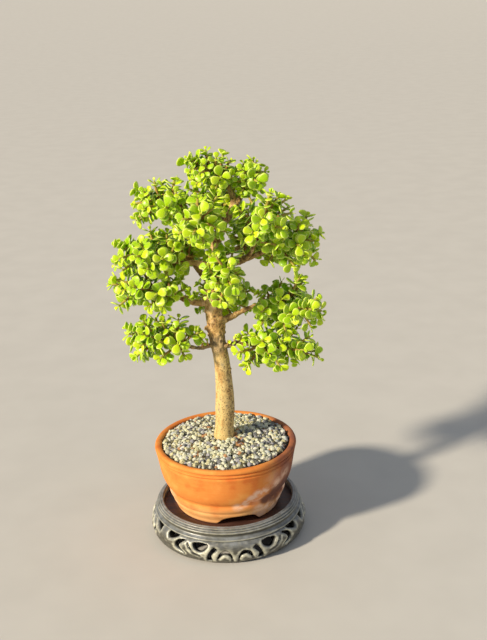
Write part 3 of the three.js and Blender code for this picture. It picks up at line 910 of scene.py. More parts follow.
@dataclass(frozen=True)
class StandFinish:
    """Dark stained hardwood, worn to a dull grey-green on its edges and beads with painted highlights there,
    painted sky sheen on top and painted shade in its hollows and openings.
    """

    stain: str = "3a3931"
    grain: str = "58574a"
    dust_and_sky_sheen: str = "969ca2"
    rubbed_and_highlit: str = "c8c8b5"
    recess_shade: str = "0d0c0a"

    def make(self) -> Material:
        """Fine grain round the ring, painted shade in hollows and inside the openings, dust and painted sky
        sheen where it faces up, and wear with painted highlights where it bulges.
        """
        r = Recipe("stained_hardwood")
        grain = r.noise(3.0, 5, r.stretched(0.35, 0.35, 2.2))
        body = r.mix(r.span(grain, 0.4, 0.7), self.stain, self.grain)
        upward = r.node("SeparateXYZ", {0: r.node("NewGeometry", {}, "Normal")}, "Z")
        # dust and painted sky reflection on the faces that look up
        dusty_sheen = r.times(r.span(upward, 0.05, 0.9), r.span(r.noise(11, 5), 0.3, 0.7, 0.25, 0.7))
        body = r.mix(dusty_sheen, body, self.dust_and_sky_sheen)
        # painted shade: darker in hollows
        body = r.mix(r.span(r.value("edge"), 0.46, 0.24), body, self.recess_shade)
        patch = r.span(r.noise(9, 5), 0.3, 0.62, 0.35, 0.95)
        # wear and painted highlights where the wood bulges
        wear_and_highlight = r.times(r.span(r.value("edge"), 0.54, 0.74), patch)
        body = r.mix(wear_and_highlight, body, self.rubbed_and_highlit)
        # painted shade: the inner walls of the openings turn near black
        r.set(Base_Color=r.mix(r.value("deep"), body, self.recess_shade))
        r.set(Roughness=r.span(r.noise(6, 4), 0.3, 0.75, 0.3, 0.46), Specular_IOR_Level=0.8)
        r.bump(grain, 0.1, 0.5)
        return r.material


@dataclass(frozen=True)
class PanelFinish:
    """The reddish-brown board in the ring, with straight grain."""

    def make(self) -> Material:
        """Long grain along X with fine pores."""
        r = Recipe("reddish_board")
        grain = r.noise(5, 6, r.stretched(0.12, 1, 1))
        body = r.ramp(grain, {0.3: "2f1d18", 0.52: "4b3028", 0.75: "644538"})
        r.set(Base_Color=body, Roughness=r.span(grain, 0.3, 0.8, 0.38, 0.55))
        r.bump(grain, 0.15, 0.5)
        return r.material


@dataclass(frozen=True)
class NetFinish:
    """Black moulded plastic net."""

    def make(self) -> Material:
        """Near black with faint scuffs."""
        r = Recipe("plastic_net")
        scuff = r.noise(1.2, 3)
        r.set(Base_Color=r.ramp(scuff, {0.3: "191b1b", 0.8: "313534"}), Roughness=0.6)
        return r.material


@dataclass(frozen=True)
class FloorFinish:
    """A plain pale floor."""

    def make(self) -> Material:
        """One pale tone with the faintest unevenness."""
        r = Recipe("pale_floor")
        r.set(Base_Color=r.ramp(r.noise(90, 2), {0.2: "c4c2be", 0.8: "c9c7c3"}), Roughness=0.85)
        return r.material


def dress(made: Object, slot: Slot, *nodes: str) -> None:
    """Lets a finished piece ride on the body, in place of the frame's own solid, and reports it.

    Args:
        made: the piece.
        slot: not used.
        nodes: the frame's nodes that it stands for.
    """
    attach(made, BODY)
    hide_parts(*nodes)
    triangles = sum(len(p.vertices) - 2 for p in made.data.polygons)
    LOG.info("%s: %d triangles", made.name, triangles)


# Stand


@dataclass
class Stand:
    """The turned and carved ring, its openwork apron and the board let into it. Sizes in mm."""

    inner_radius: float = 93.0
    ledge_radius: float = 88.5
    ledge_z: float = 35.4
    under_ledge_z: float = 30.5
    bulge_radius: float = 112.0
    bulge_z: float = 20.0
    foot_radius: float = 103.0
    wall: float = 8.0
    top_z: float = 51.6
    split_radius: float = 103.4  # the ring meets the apron here
    split_z: float = 33.2
    sectors: int = 3
    centre_deg: float = 5.0
    board: float = 6.0
    segments: int = 288
    voxel: float = 0.85
    keep: float = 0.55
    bevel: float = 3.2  # width of the rounding along the openings
    bevel_depth: float = 1.5
    chisel: float = 0.16  # depth of the tool marks
    flat_z: float = 0.6  # the wood is left unshaped up to here
    # one half of a sector's openings: degrees from the sector's middle, and height
    scroll: dict[str, list[Flat]] = field(
        default_factory=lambda: {
            "crescent": [(2.2, 6), (2.6, 16), (6, 22.4), (10.4, 20.6), (13, 8.5), (8.4, 16.4), (4.6, 15)],
            "comma": [(13.2, 24.6), (15.6, 26.6), (20.6, 12), (20.4, 6), (17.2, 6.2), (17.2, 15.5)],
            "half_moon": [(20.4, 29.6), (31.2, 29.4), (30, 21.4), (26.4, 18.4), (22.2, 21.4)],
            "slot": [(35.6, 27), (34, 20), (29.6, 14.6), (26, 13.4), (30.4, 16.2), (33, 21.4)],
            "claw": [
                (37.6, 30.4), (44, 28.2), (46.8, 22.4), (45.4, 15), (38.6, 11.6), (43.2, 20.6), (41.6, 25),
            ],
            "triangle": [(44.6, 32.2), (55, 32.2), (53.6, 24.4)],
        }
    )
    # the low arches between the feet, in the same way
    lifts: tuple[list[Flat], ...] = (
        [(-37, -2), (-36.6, 0.2), (-34.5, 1.6), (34.5, 1.6), (36.6, 0.2), (37, -2)],
        [(46.5, -2), (46.9, 0.4), (49, 2.4), (71, 2.4), (73.1, 0.4), (73.5, -2)],
    )

    @staticmethod
    def outline(points: list[Flat]) -> Array:
        """An opening's closed outline.

        Args:
            points: places that it is rounded through.

        Returns:
            Eight points for each of them.
        """
        spans = len(points) + 2
        closed = Through([points[-1], *points, points[0], points[1]])
        return closed.at(np.linspace(1 / spans, 1 - 1 / spans, 8 * len(points), endpoint=False))

    def openings(self) -> list[Array]:
        """All openings of one sector.

        Returns:
            For each, an outline of angle and height.
        """
        rounded = [self.outline(points) for points in self.scroll.values()]
        mirrored = [drawn * [-1, 1] for drawn in rounded]
        return [np.array(lift, float) for lift in self.lifts] + rounded + mirrored

    def cutters(self) -> Object:
        """All openings as one mesh of radial prisms.

        A prism joins an outline of angle and height at an inner and at an outer radius.

        Returns:
            An object that the apron is cut with.
        """
        shape = Shape()
        inner, outer = self.ledge_radius + 2.5, self.bulge_radius + 8
        for sector in range(self.sectors):
            middle = self.centre_deg + sector * 360 / self.sectors
            for drawn in self.openings():
                area = np.sum(drawn[:, 0] * np.roll(drawn[:, 1], -1) - np.roll(drawn[:, 0], -1) * drawn[:, 1])
                if area < 0:
                    drawn = drawn[::-1]
                angle = np.radians(middle + drawn[:, 0])
                ring = np.stack([np.sin(angle), -np.cos(angle), drawn[:, 1]], axis=-1)
                low, high = ring * [inner, inner, 1], ring * [outer, outer, 1]
                hubs = np.stack([low.mean(axis=0), high.mean(axis=0)])
                count = len(drawn)
                around = np.arange(count)
                faces = [
                    grid_faces(2, count),
                    fan_faces(2 * count, around, True),
                    fan_faces(2 * count + 1, count + around, False),
                ]
                shape.add(np.concatenate([low, high, hubs]), faces)
        return shape.to_object("stand_cutters", None)

    def apron_line(self) -> list[Flat]:
        """Radius and height of places up the apron's outer face."""
        foot = [(self.foot_radius, 0), (107.4, 4), (110.6, 10), (self.bulge_radius, self.bulge_z)]
        return [*foot, (110.6, 26), (107.4, 31), (self.split_radius, self.split_z)]

    def apron(self, finish: Material) -> Object:
        """The carved apron: a turned shell, cut through by the scroll and rounded.

        Args:
            finish: its wood.

        Returns:
            The piece.
        """
        foot, *rise = self.apron_line()
        inside = [
            (self.bulge_radius - self.wall, self.bulge_z), (102.4, 10), (self.foot_radius - self.wall, 0)
        ]
        top = [(self.ledge_radius, self.split_z)]
        profile = flow(foot, rise, top, [(self.ledge_radius, self.under_ledge_z)], inside, [foot])
        shape = Shape()
        shape.add(*turned(profile, self.segments))
        made = shape.to_object("stand_apron", finish)
        cutter = self.cutters()
        cut = made.modifiers.new("openings", "BOOLEAN")
        cut.operation = "DIFFERENCE"
        cut.object = cutter
        cut.solver = "EXACT"
        settle(made)
        bpy.data.objects.remove(cutter)
        refine(made, self.voxel, 3, self.keep)
        return self.carve(made)

    def to_opening(self, places: Array) -> Array:
        """How far each place is from the nearest opening's edge, along the unrolled apron.

        Sectors are alike and mirror-symmetric, so an angle is folded to the half of one sector.

        Args:
            places: places in mm, one row each.

        Returns:
            One distance in mm for each place.
        """
        scale = np.array([math.radians(self.bulge_radius), 1.0])
        rims = []
        for drawn in self.openings():
            closed = np.concatenate([drawn, drawn[:1]]) * scale
            run = np.concatenate([[0.0], np.cumsum(np.linalg.norm(np.diff(closed, axis=0), axis=1))])
            even = np.arange(0, run[-1], 0.6)
            rims.append(np.stack([np.interp(even, run, column) for column in closed.T], axis=-1))
        rim = np.concatenate(rims)
        step = 360 / self.sectors
        angle = np.degrees(np.arctan2(places[:, 0], -places[:, 1])) - self.centre_deg
        folded = np.abs((angle + step / 2) % step - step / 2)
        spots = np.stack([folded, places[:, 2]], axis=-1) * scale
        shares = np.array_split(spots, 96)
        return np.concatenate([np.linalg.norm(part[:, None] - rim, axis=-1).min(axis=1) for part in shares])

    def carve(self, made: Object) -> Object:
        """Rounds the wood towards each opening and adds chisel marks, with the ground plane kept flat.

        A place near an opening sinks by a depth times the square of one less its distance over the
        bevel's width, and less the deeper it lies in the wood.

        Args:
            made: the apron.

        Returns:
            The same object.
        """
        places, normals = vertex_arrays(made)
        radius = np.hypot(places[:, 0], places[:, 1])
        line = np.array(self.apron_line())
        under = np.interp(places[:, 2], line[:, 1], line[:, 0]) - radius
        near = 1 - np.clip(self.to_opening(places) / self.bevel, 0, 1)
        sunk = self.bevel_depth * near**2 * np.clip(1 - under / 6, 0, 1)
        chisel = self.chisel * layered_noise(places * [1, 1, 0.8], 5, 3, 11)
        flat = np.clip((places[:, 2] - self.flat_z) / 2, 0, 1)
        moved = places + normals * (chisel * flat)[:, None]
        moved[:, :2] -= places[:, :2] / radius[:, None] * (sunk * flat)[:, None]
        moved[:, 2] = np.maximum(moved[:, 2], 0)
        place_points(made, moved)
        # the walls of the openings more than 1.9 mm inside the outer face are marked for painted shade
        place_points(made, moved, edge=edge_and_hollow(made, 0.2, 3), deep=np.clip((under - 1.9) / 2, 0, 1))
        return made

    def ring(self, finish: Material) -> Object:
        """The moulded ring above the apron, with its beads and the rabbet for the board.

        Args:
            finish: its wood.

        Returns:
            The piece.
        """
        profile = flow(
            (self.split_radius, self.split_z),
            [(104.6, 33.8), (105.2, 34.8), (104.7, 35.8), (103.2, 36.3)],
            [(101.6, 37.3), (100.4, 38.8), (100.2, 40.6), (100.9, 42.2), (101.2, 43)],
            [(102.3, 43.4), (102.8, 44.4), (102.3, 45.4), (101, 45.8)],
            [(100.2, 46.1), (101.2, 46.7), (101.1, 47.6), (100.2, 48.2), (99.2, 48.4)],
            [(98.3, 48.8), (99.1, 49.6), (98.6, 50.4), (97.4, 50.8), (96.4, 50.7)],
            [(95.8, 51.3), (94.9, self.top_z), (93.8, 51.3), (self.inner_radius, 50.2)],
            [(self.inner_radius, self.ledge_z)],
            [(self.ledge_radius, self.ledge_z)],
            [(self.ledge_radius, self.split_z)],
            [(self.split_radius, self.split_z)],
        )
        shape = Shape()
        shape.add(*turned(profile, self.segments))
        made = shape.to_object("stand_ring", finish)
        places, _ = vertex_arrays(made)
        place_points(made, places, edge=edge_and_hollow(made, 0.07, 1), deep=np.zeros(len(places)))
        return made

    def panel(self, finish: Material) -> Object:
        """The round board that lies on the rabbet, its upper edge eased.

        Args:
            finish: its wood.

        Returns:
            The piece.
        """
        low = self.ledge_z + GAP
        high = low + self.board
        edge = self.inner_radius - GAP
        profile = np.array(
            [(0, low), (edge, low), (edge, high - 0.8), (edge - 0.3, high - 0.2), (edge - 1, high), (0, high)]
        )
        shape = Shape()
        shape.add(*turned(profile, self.segments))
        return shape.to_object("stand_board", finish)

    def build(self) -> None:
        """Builds the stand's three pieces."""
        wood = StandFinish().make()
        dress(self.apron(wood), Slot.STAND, "stand_frame")
        dress(self.ring(wood), Slot.STAND, "stand_frame")
        dress(self.panel(PanelFinish().make()), Slot.PANEL, "stand_panel")


# Pot and gravel


@dataclass
class Pot:
    """The clay pot with its rim, grooves, foot band, arched cut-outs and drain net. Sizes in mm."""

    foot_z: float = 42.0
    plate_z: float = 57.0
    floor_z: float = 64.4
    drain_radius: float = 8.0
    foot_inner: float = 58.0
    arch_half_deg: float = 24.5
    arch_height: float = 14.0
    arch_deg: float = 12.6
    feet: int = 3
    segments: int = 256
    uneven: float = 0.12  # how far the clay strays from round
    net_half: float = 13.0
    net_thickness: float = 1.2
    net_bar: float = 0.45  # half the width of a bar
    net_cells: int = 7

    def profile(self) -> Array:
        """The pot's outline, from the foot's inner edge up outside and back down inside.

        Returns:
            Radius and height of each point.
        """
        z = self.foot_z
        return flow(
            (61, z),
            [(70.4, z)],
            [
                (72.4, z + 1), (74.3, 45.8), (75.1, 49), (77, 53), (78.6, 56), (79.4, 58.5), (79.6, 60.4),
                (80.2, 62), (81.7, 64.2), (82.8, 66.6), (83.4, 69), (83.5, 71.4), (83.1, 73.4), (83.2, 75),
                (84.2, 77), (86.8, 80.4), (89.3, 84.9), (91.4, 90), (93.8, 99), (95.4, 108), (96.6, 116),
                (97.8, 122.4),
            ],
            [(96.7, 123.6), (96.7, 124.4), (98.3, 125.8)],
            [(98.8, 127), (98.3, 128.3)],
            [(97.1, 129.1), (97.3, 130), (99, 130.9)],
            [
                (100, 132.4), (100, 133.8), (99.3, 135.6), (97.6, 136.8), (95.2, 137), (92.6, 136.4),
                (90.9, 135), (90.4, 133),
            ],
            [(88.6, 122), (83, 95), (76, 75), (70, 68), (64, self.floor_z)],
            [(self.drain_radius, self.floor_z)],
            [(self.drain_radius, self.plate_z)],
            [(self.foot_inner, self.plate_z)],
            [(59.4, 49), (60.2, z + 0.7), (61, z)],
            per=4,
        )

    def arch(self, angles: Array) -> Array:
        """Height of the foot's lower edge.

        Over each cut-out it is an arch: one less a power of the share of its half width.

        Args:
            angles: degrees from the front towards +X.

        Returns:
            One height in mm for each angle.
        """
        step = 360 / self.feet
        off = (angles - self.arch_deg + step / 2) % step - step / 2
        inside = np.clip(np.abs(off) / self.arch_half_deg, 0, 1)
        return self.foot_z + self.arch_height * (1 - inside**3.2)

    def body(self, finish: Material) -> Object:
        """The turned pot, its foot lifted to the arches: each low point is raised to the arch's height.

        Args:
            finish: its clay.

        Returns:
            The piece.
        """
        points, faces = turned(self.profile(), self.segments)
        front = np.degrees(np.arctan2(points[:, 0], -points[:, 1]))
        radius = np.hypot(points[:, 0], points[:, 1])
        low = (points[:, 2] < self.plate_z - 0.1) & (radius > self.foot_inner)
        points[low, 2] = np.maximum(points[low, 2], self.arch(front[low]))
        uneven = self.uneven * layered_noise(points, 40, 2, 5)
        outward = points * [1, 1, 0] / np.maximum(radius, 1)[:, None]
        points = points + outward * (uneven * (radius > 60))[:, None]
        shape = Shape()
        shape.add(points, faces)
        made = shape.to_object("clay_pot", finish)
        place_points(made, points, edge=edge_and_hollow(made, 0.16, 1))
        return made

    def net(self, finish: Material) -> Object:
        """The net over the drain hole: crossed flat bars, each a box.

        Args:
            finish: its plastic.

        Returns:
            The piece.
        """
        shape = Shape()
        high = self.net_thickness / 2
        z = self.floor_z + GAP + high
        box = np.array(list(itertools.product((-1, 1), repeat=3)), float)
        sides = np.array([(0, 1, 3, 2), (4, 6, 7, 5), (0, 4, 5, 1), (2, 3, 7, 6), (0, 2, 6, 4), (1, 5, 7, 3)])
        reach = self.net_half - self.net_bar
        for place in np.linspace(-reach, reach, self.net_cells + 1):
            shape.add(box * (self.net_bar, self.net_half, high) + (place, 0, z), [sides])
            shape.add(box * (self.net_half, self.net_bar, 0.8 * high) + (0, place, z), [sides])
        return shape.to_object("drain_net", finish, smooth=False)

    def build(self) -> None:
        """Builds the pot and its net."""
        dress(self.body(ClayFinish().make()), Slot.CLAY, "pot")
        dress(self.net(NetFinish().make()), Slot.PLASTIC, "drain_mesh")


@dataclass
class Gravel:
    """The fill of the pot: a dark bed and loose stones on top. Sizes in mm."""

    centre_z: float = 142.6
    edge_z: float = 135.4
    radius: float = 89.6
    floor_z: float = 64.7
    trunk_x: float = -1.6
    trunk_radius: float = 13.4
    flare: float = 2.2
    bed_rings: int = 30
    bed_segments: int = 120
    grains: int = 2100
    grain: float = 2.95
    sizes: Flat = (0.62, 1.25)  # natural variation
    squash: Flat = (0.68, 1.18)
    dents: float = 0.16
    shake: float = 0.7
    sunk_share: float = 0.42
    seed: int = 77
    # places and radii of the small groups of orange-brown stones
    rusty: tuple[Place, ...] = (
        (20, -30, 8), (19, -10, 6), (22, -52, 5), (-28, 26, 8), (60, 14, 8), (-9, -37, 5), (-30, 5, 5),
    )

    def height(self, x: Array, y: Array) -> Array:
        """A low dome towards the trunk."""
        return self.centre_z + (self.edge_z - self.centre_z) * (x * x + y * y) / self.radius**2

    def bed(self, finish: Material) -> Object:
        """The bed: rings that pass from the trunk's hole to the pot's wall, down it and back below.

        A ring is a circle whose centre and radius run from those of the hole to those of the pot.

        Args:
            finish: its grit.

        Returns:
            The piece.
        """
        segments = self.bed_segments
        angles = np.arange(segments) * 2 * math.pi / segments
        top = np.linspace(0, 1, self.bed_rings)
        hole = self.trunk_radius + self.flare + GAP
        wall = np.array([(87.6, 121), (82.2, 95), (75.2, 75), (69.2, 68.2), (63.4, self.floor_z)])
        shares = np.concatenate([top, np.ones(len(wall)), [0.0]])
        radii = np.concatenate([hole + (self.radius - hole) * top, wall[:, 0], [hole]])
        centre = self.trunk_x * (1 - shares)
        x = centre[:, None] + radii[:, None] * np.cos(angles)
        y = radii[:, None] * np.sin(angles)
        places = np.stack([x.ravel(), y.ravel(), np.zeros(x.size)], axis=-1)
        z = self.height(x, y) - 1.5 + 0.8 * lattice_noise(places, 4, 3).reshape(x.shape)
        z[len(top) :] = np.concatenate([wall[:, 1], [self.floor_z]])[:, None]
        places[:, 2] = z.ravel()
        shape = Shape()
        faces = grid_faces(len(shares), segments, wrap_rows=True)[:, ::-1]
        shape.add(places, [faces])
        return shape.to_object("grit_bed", finish)

    def scatter(self, rng: np.random.Generator) -> tuple[Array, Array, Array]:
        """Strews the stones: the golden angle fills the disc, and each place is shaken.

        Args:
            rng: the stream of random numbers.

        Returns:
            Places along X and along Y, none of them at the trunk, and sizes.
        """
        k = np.arange(self.grains) + 0.5
        radius = (self.radius - 2.2) * np.sqrt(k / self.grains)
        angle = GOLDEN_ANGLE * k * 7
        x = radius * np.cos(angle) + rng.normal(0, self.shake, self.grains)
        y = radius * np.sin(angle) + rng.normal(0, self.shake, self.grains)
        size = self.grain * rng.uniform(*self.sizes, self.grains) ** 1.1
        reach = np.hypot(x, y)
        x, y = (c * np.minimum(1, (self.radius - 0.9 * size) / reach) for c in (x, y))
        keep = np.hypot(x - self.trunk_x, y) > self.trunk_radius + self.flare
        return x[keep], y[keep], size[keep]

    def kinds(self, x: Array, y: Array, rng: np.random.Generator) -> Array:
        """Each stone's kind: chance, drifting by a broad noise, greyer to the right.

        Args:
            x: places along X.
            y: places along Y.
            rng: the stream of random numbers.

        Returns:
            One number from 0 to 1 for each stone.
        """
        broad = lattice_noise(np.stack([x, y, np.zeros(len(x))], axis=-1), 22, 5)
        kind = np.clip(rng.random(len(x)) + (0.2 * broad + 0.1 * x / self.radius), 0, 0.999)
        for rust_x, rust_y, radius in self.rusty:
            near = np.hypot(x - rust_x, y - rust_y) < radius
            kind[near & (kind * 7 % 1 < 0.45)] = 0.93
        return kind

    def stones(self, finish: Material) -> Object:
        """Loose stones: a coarse ball for each, squashed, dented and turned at random.

        Some lie sunk between the others.

        Args:
            finish: their grit.

        Returns:
            The piece.
        """
        rng = np.random.default_rng(self.seed)
        x, y, size = self.scatter(rng)
        count = len(x)
        sunk = rng.random(count) < self.sunk_share
        z = self.height(x, y) + np.where(sunk, -2.3, -0.7) + rng.uniform(-0.7, 0.9, count)
        kind = self.kinds(x, y, rng)
        points, faces = ball()
        squash = rng.uniform(*self.squash, (count, 1, 3))
        dents = 1 + rng.uniform(-self.dents, self.dents, (count, len(points), 1))
        turn, _ = np.linalg.qr(rng.normal(size=(count, 3, 3)))
        turn *= np.sign(np.linalg.det(turn))[:, None, None]
        grains = np.einsum("nij,nkj->nki", turn, points[None] * squash * dents)
        grains = grains * size[:, None, None] + np.stack([x, y, z], axis=-1)[:, None]
        every = (faces[None] + np.arange(count)[:, None, None] * len(points)).reshape(-1, 4)
        shape = Shape()
        shape.add(
            grains.reshape(-1, 3),
            [every],
            kind=np.repeat(kind, len(points)),
            sunk=np.repeat(sunk.astype(float), len(points)),
        )
        return shape.to_object("top_stones", finish, smooth=False)

    def build(self) -> None:
        """Builds the bed and the stones."""
        dress(self.bed(SoilFinish().make()), Slot.STONES, "gravel_fill")
        dress(self.stones(StoneFinish().make()), Slot.STONES, "gravel_fill")


# Tree


# places and radii of the trunk in mm
TRUNK_LINE = (
    (-1.6, 0, 99, 8.5), (-1.6, 0, 122, 12), (-1.6, 0, 138, 13.2), (-0.2, -0.5, 160, 12.6),
    (1.4, -1, 190, 12.8), (1.5, -2, 227, 11.5), (-0.4, -2, 258, 10.7), (-4.8, -1, 288, 10.5),
    (-6.2, 0, 307, 12.4), (-8.6, 1, 328, 11.6), (-11.3, 2, 346, 9.4), (-10.6, 3, 372, 7.4),
    (-6.3, 3, 397, 6.8), (-1.3, 2, 420, 6.2), (7.8, 2, 447, 5.6), (21, 3, 464, 4.8), (24, 4, 480, 4),
    (17, 3, 499, 3),
)
TRUNK_CURVE = Through([p[:3] for p in TRUNK_LINE])


@dataclass(frozen=True)
class Branch:
    """A branch: its radius at the root and at the end, and the places that it passes, in mm."""

    root: float
    end: float
    places: tuple[Place, ...]

    def curve(self) -> Curve:
        """The branch's middle line."""
        return Through(self.places)


BRANCHES = {
    "lower_left": Branch(3.4, 2.3, ((-5, 0, 283), (-16, -2, 279.5), (-30, -4, 277.5), (-42, -6, 280))),
    "lower_right": Branch(4.2, 2.6, ((-4, 0, 278), (9, -4, 279.5), (25, -7, 285), (40, -8, 281))),
    "mid_left_lower": Branch(5.6, 3.2, ((-10, 1, 343), (-22, 0, 341), (-36, -3, 343), (-50, -6, 350))),
    "mid_left_upper": Branch(4.2, 2.8, ((-9, 3, 389), (-28, 2, 396), (-46, 0, 398))),
    "upper_left": Branch(4.6, 2.8, ((2, 2, 426), (-12, -3, 441), (-27, -6, 451), (-42, -6, 462))),
    "upper_right_outer": Branch(5.4, 3, ((-7, 3, 386), (22, 2, 395), (46, 0, 403), (68, 0, 411))),
    "upper_right_front": Branch(3.2, 2.2, ((34, 1, 399), (42, -10, 408), (47, -19, 419))),
    "mid_right": Branch(4.6, 2.8, ((-6, 1, 311), (16, 6, 318), (36, 8, 327), (54, 6, 333))),
    "back_low": Branch(4.6, 2.8, ((-8, 3, 322), (-6, 22, 324), (-1, 42, 326))),
    "back_left": Branch(4.4, 2.8, ((-11, 4, 366), (-24, 22, 376), (-36, 42, 386))),
    "back_right": Branch(4.4, 2.8, ((-4, 4, 405), (14, 24, 404), (30, 44, 405))),
    "back_upper": Branch(3.6, 2.4, ((4, 3, 438), (4, 16, 448), (3, 27, 456))),
    "centre_front": Branch(3, 2, ((-10, 0, 360), (-4, -12, 364), (2, -20, 369))),
    "centre_upper": Branch(2.6, 1.9, ((-12, -3, 441), (-15, -14, 444), (-17, -22, 449))),
    "crown_right": Branch(3.6, 2.2, ((22, 3, 468), (32, 5, 480), (38, 6, 492))),
    "stub": Branch(3.6, 3, ((-6, 0, 302), (-16, -6, 306), (-21, -8, 308))),
}


@dataclass(frozen=True)
class Spray:
    """The space that a spray fills, in mm, and the side twigs of its stem."""

    centre: Place
    half: Place
    twigs: int  # those that the frame's solid has too
    more: int = 15  # those that are filled in
    young: float = 1.0  # size of the leaves that are filled in
    tips: tuple[Place, ...] = ()  # where the first of the filled in twigs end, at the spray's edge


SPRAYS = {
    "crown_left": Spray(
        (-7, 0, 518), (36, 38, 31), 4, 20, 0.78,
        tips=((22, -6, 533), (-33, -6, 538)),
    ),
    "crown_right": Spray((44, 4, 509), (27, 33, 25), 4, 16, 0.8),
    "upper_left": Spray(
        (-72, -4, 478), (40, 42, 38), 5, 18, 0.85,
        tips=((-105, -6, 480), (-104, -12, 460), (-50, -6, 512)),
    ),
    "mid_left_upper": Spray(
        (-89, -6, 413), (54, 46, 34), 5,
        tips=((-46, -18, 402), (-50, -18, 391), (-136, -10, 401)),
    ),
    "mid_left_lower": Spray(
        (-92, -8, 365), (58, 44, 34), 5,
        tips=((-44, -18, 366), (-38, -14, 354), (-143, -10, 374)),
    ),
    "lower_left": Spray(
        (-82, -5, 294), (57, 44, 33), 5,
        tips=((-28, -16, 305), (-104, -10, 322)),
    ),
    "centre_upper": Spray((-17, -42, 462), (36, 34, 41), 4),
    "centre_front": Spray(
        (8, -38, 386), (27, 30, 44), 4,
        tips=((-15, -34, 360),),
    ),
    "upper_right_front": Spray(
        (59, -30, 458), (43, 42, 45), 4,
        tips=((74, -14, 490), (93, -14, 482), (96, -14, 471), (28, -36, 476)),
    ),
    "upper_right_outer": Spray(
        (98, 0, 420), (44, 44, 47), 5,
        tips=((130, -6, 395),),
    ),
    "mid_right": Spray(
        (90, 0, 330), (53, 46, 48), 5,
        tips=((109, -4, 374), (133, -6, 344), (123, -10, 303), (137, -6, 315)),
    ),
    "lower_right": Spray(
        (74, -5, 275), (64, 44, 35), 5,
        tips=((21, -26, 277), (33, -26, 255), (134, -10, 259)),
    ),
    "back_low": Spray((5, 70, 330), (48, 38, 38), 5),
    "back_left": Spray((-56, 70, 398), (46, 38, 44), 4),
    "back_right": Spray((56, 70, 414), (48, 38, 46), 5),
    "back_upper": Spray((2, 50, 474), (44, 40, 38), 4),
}


@dataclass(frozen=True)
class Pair:
    """A pair of leaves on a shoot: how far back from the tip, its face, size and spread in degrees."""

    back: float
    face: int
    size: float
    spread: float


FIRST_PAIRS = (Pair(2.6, 0, 0.96, 66), Pair(2.6, 1, 0.8, 44), Pair(12.5, 1, 1.04, 70), Pair(22, 0, 1.08, 74))
LATER_PAIRS = (
    Pair(0.4, 1, 0.42, 16), Pair(7.4, 0, 0.92, 72), Pair(12.2, 0, 0.9, 78), Pair(17, 1, 0.98, 78),
    Pair(17.4, 0, 0.9, 78), Pair(22, 1, 0.96, 80), Pair(27, 1, 1.0, 80), Pair(32, 0, 1.0, 82),
    Pair(38, 1, 0.96, 82), Pair(46, 0, 0.9, 84),
)
NEW_PAIRS = (
    Pair(0.4, 0, 0.42, 22), Pair(3.2, 1, 0.76, 58), Pair(7.6, 0, 0.94, 72), Pair(13.4, 1, 1.02, 78),
    Pair(20, 0, 1.06, 80), Pair(27, 1, 1.0, 82), Pair(34, 0, 0.92, 84),
)
SPROUT_PAIRS = (Pair(0.4, 0, 0.5, 26), Pair(3.4, 1, 0.72, 62), Pair(7.4, 0, 0.8, 74), Pair(12, 1, 0.84, 78))


@dataclass(frozen=True)
class Sprout:
    """A short shoot on bare wood: the spray that it counts with, its root and tip in mm, its leaves' size."""

    owner: str
    root: Place
    tip: Place
    size: float


SPROUTS = (
    Sprout("centre_front", (-9, -4, 384), (-11, -38, 408), 1.0),
    Sprout("centre_front", (-6, -3, 394), (9, -41, 412), 1.05),
    Sprout("centre_front", (-5, -3, 403), (-3, -37, 427), 1.0),
    Sprout("centre_front", (-4, -2, 404), (17, -32, 424), 0.95),
    Sprout("lower_right", (9, -5, 280), (9, -13, 291), 0.55),
    Sprout("lower_right", (17, -6, 283), (20, -14, 295), 0.6),
    Sprout("lower_right", (25, -7, 286), (29, -12, 298), 0.7),
    Sprout("lower_right", (28, -7, 285), (32, -18, 276), 0.8),
    Sprout("lower_left", (-17, -3, 280), (-19, -11, 291), 0.5),
    Sprout("lower_left", (-26, -4, 279), (-25, -13, 300), 0.65),
)


@dataclass
class Leaf:
    """A leaf on its shoot."""

    owner: str
    foot: Array
    out: Array  # the direction from foot to tip
    up: Array
    length: float  # mm
    tone: float  # from old to young
    whim: float  # from 0 to 1, sets its bends
    turn: float  # how far it turns to the light


@dataclass
class Shoot:
    """A twig that carries leaves. Lengths in mm."""

    owner: str
    curve: Curve
    root: float  # radius at each end
    tip: float
    side: Array | None = None  # the direction that its first face looks in
    length: float = 0.0
    young: float = 1.0  # size of the leaves that are filled in
    past: float = 6.0  # how far those may pass the spray's space
    knuckles: list[float] = field(default_factory=list)  # shares of its length where leaves grow


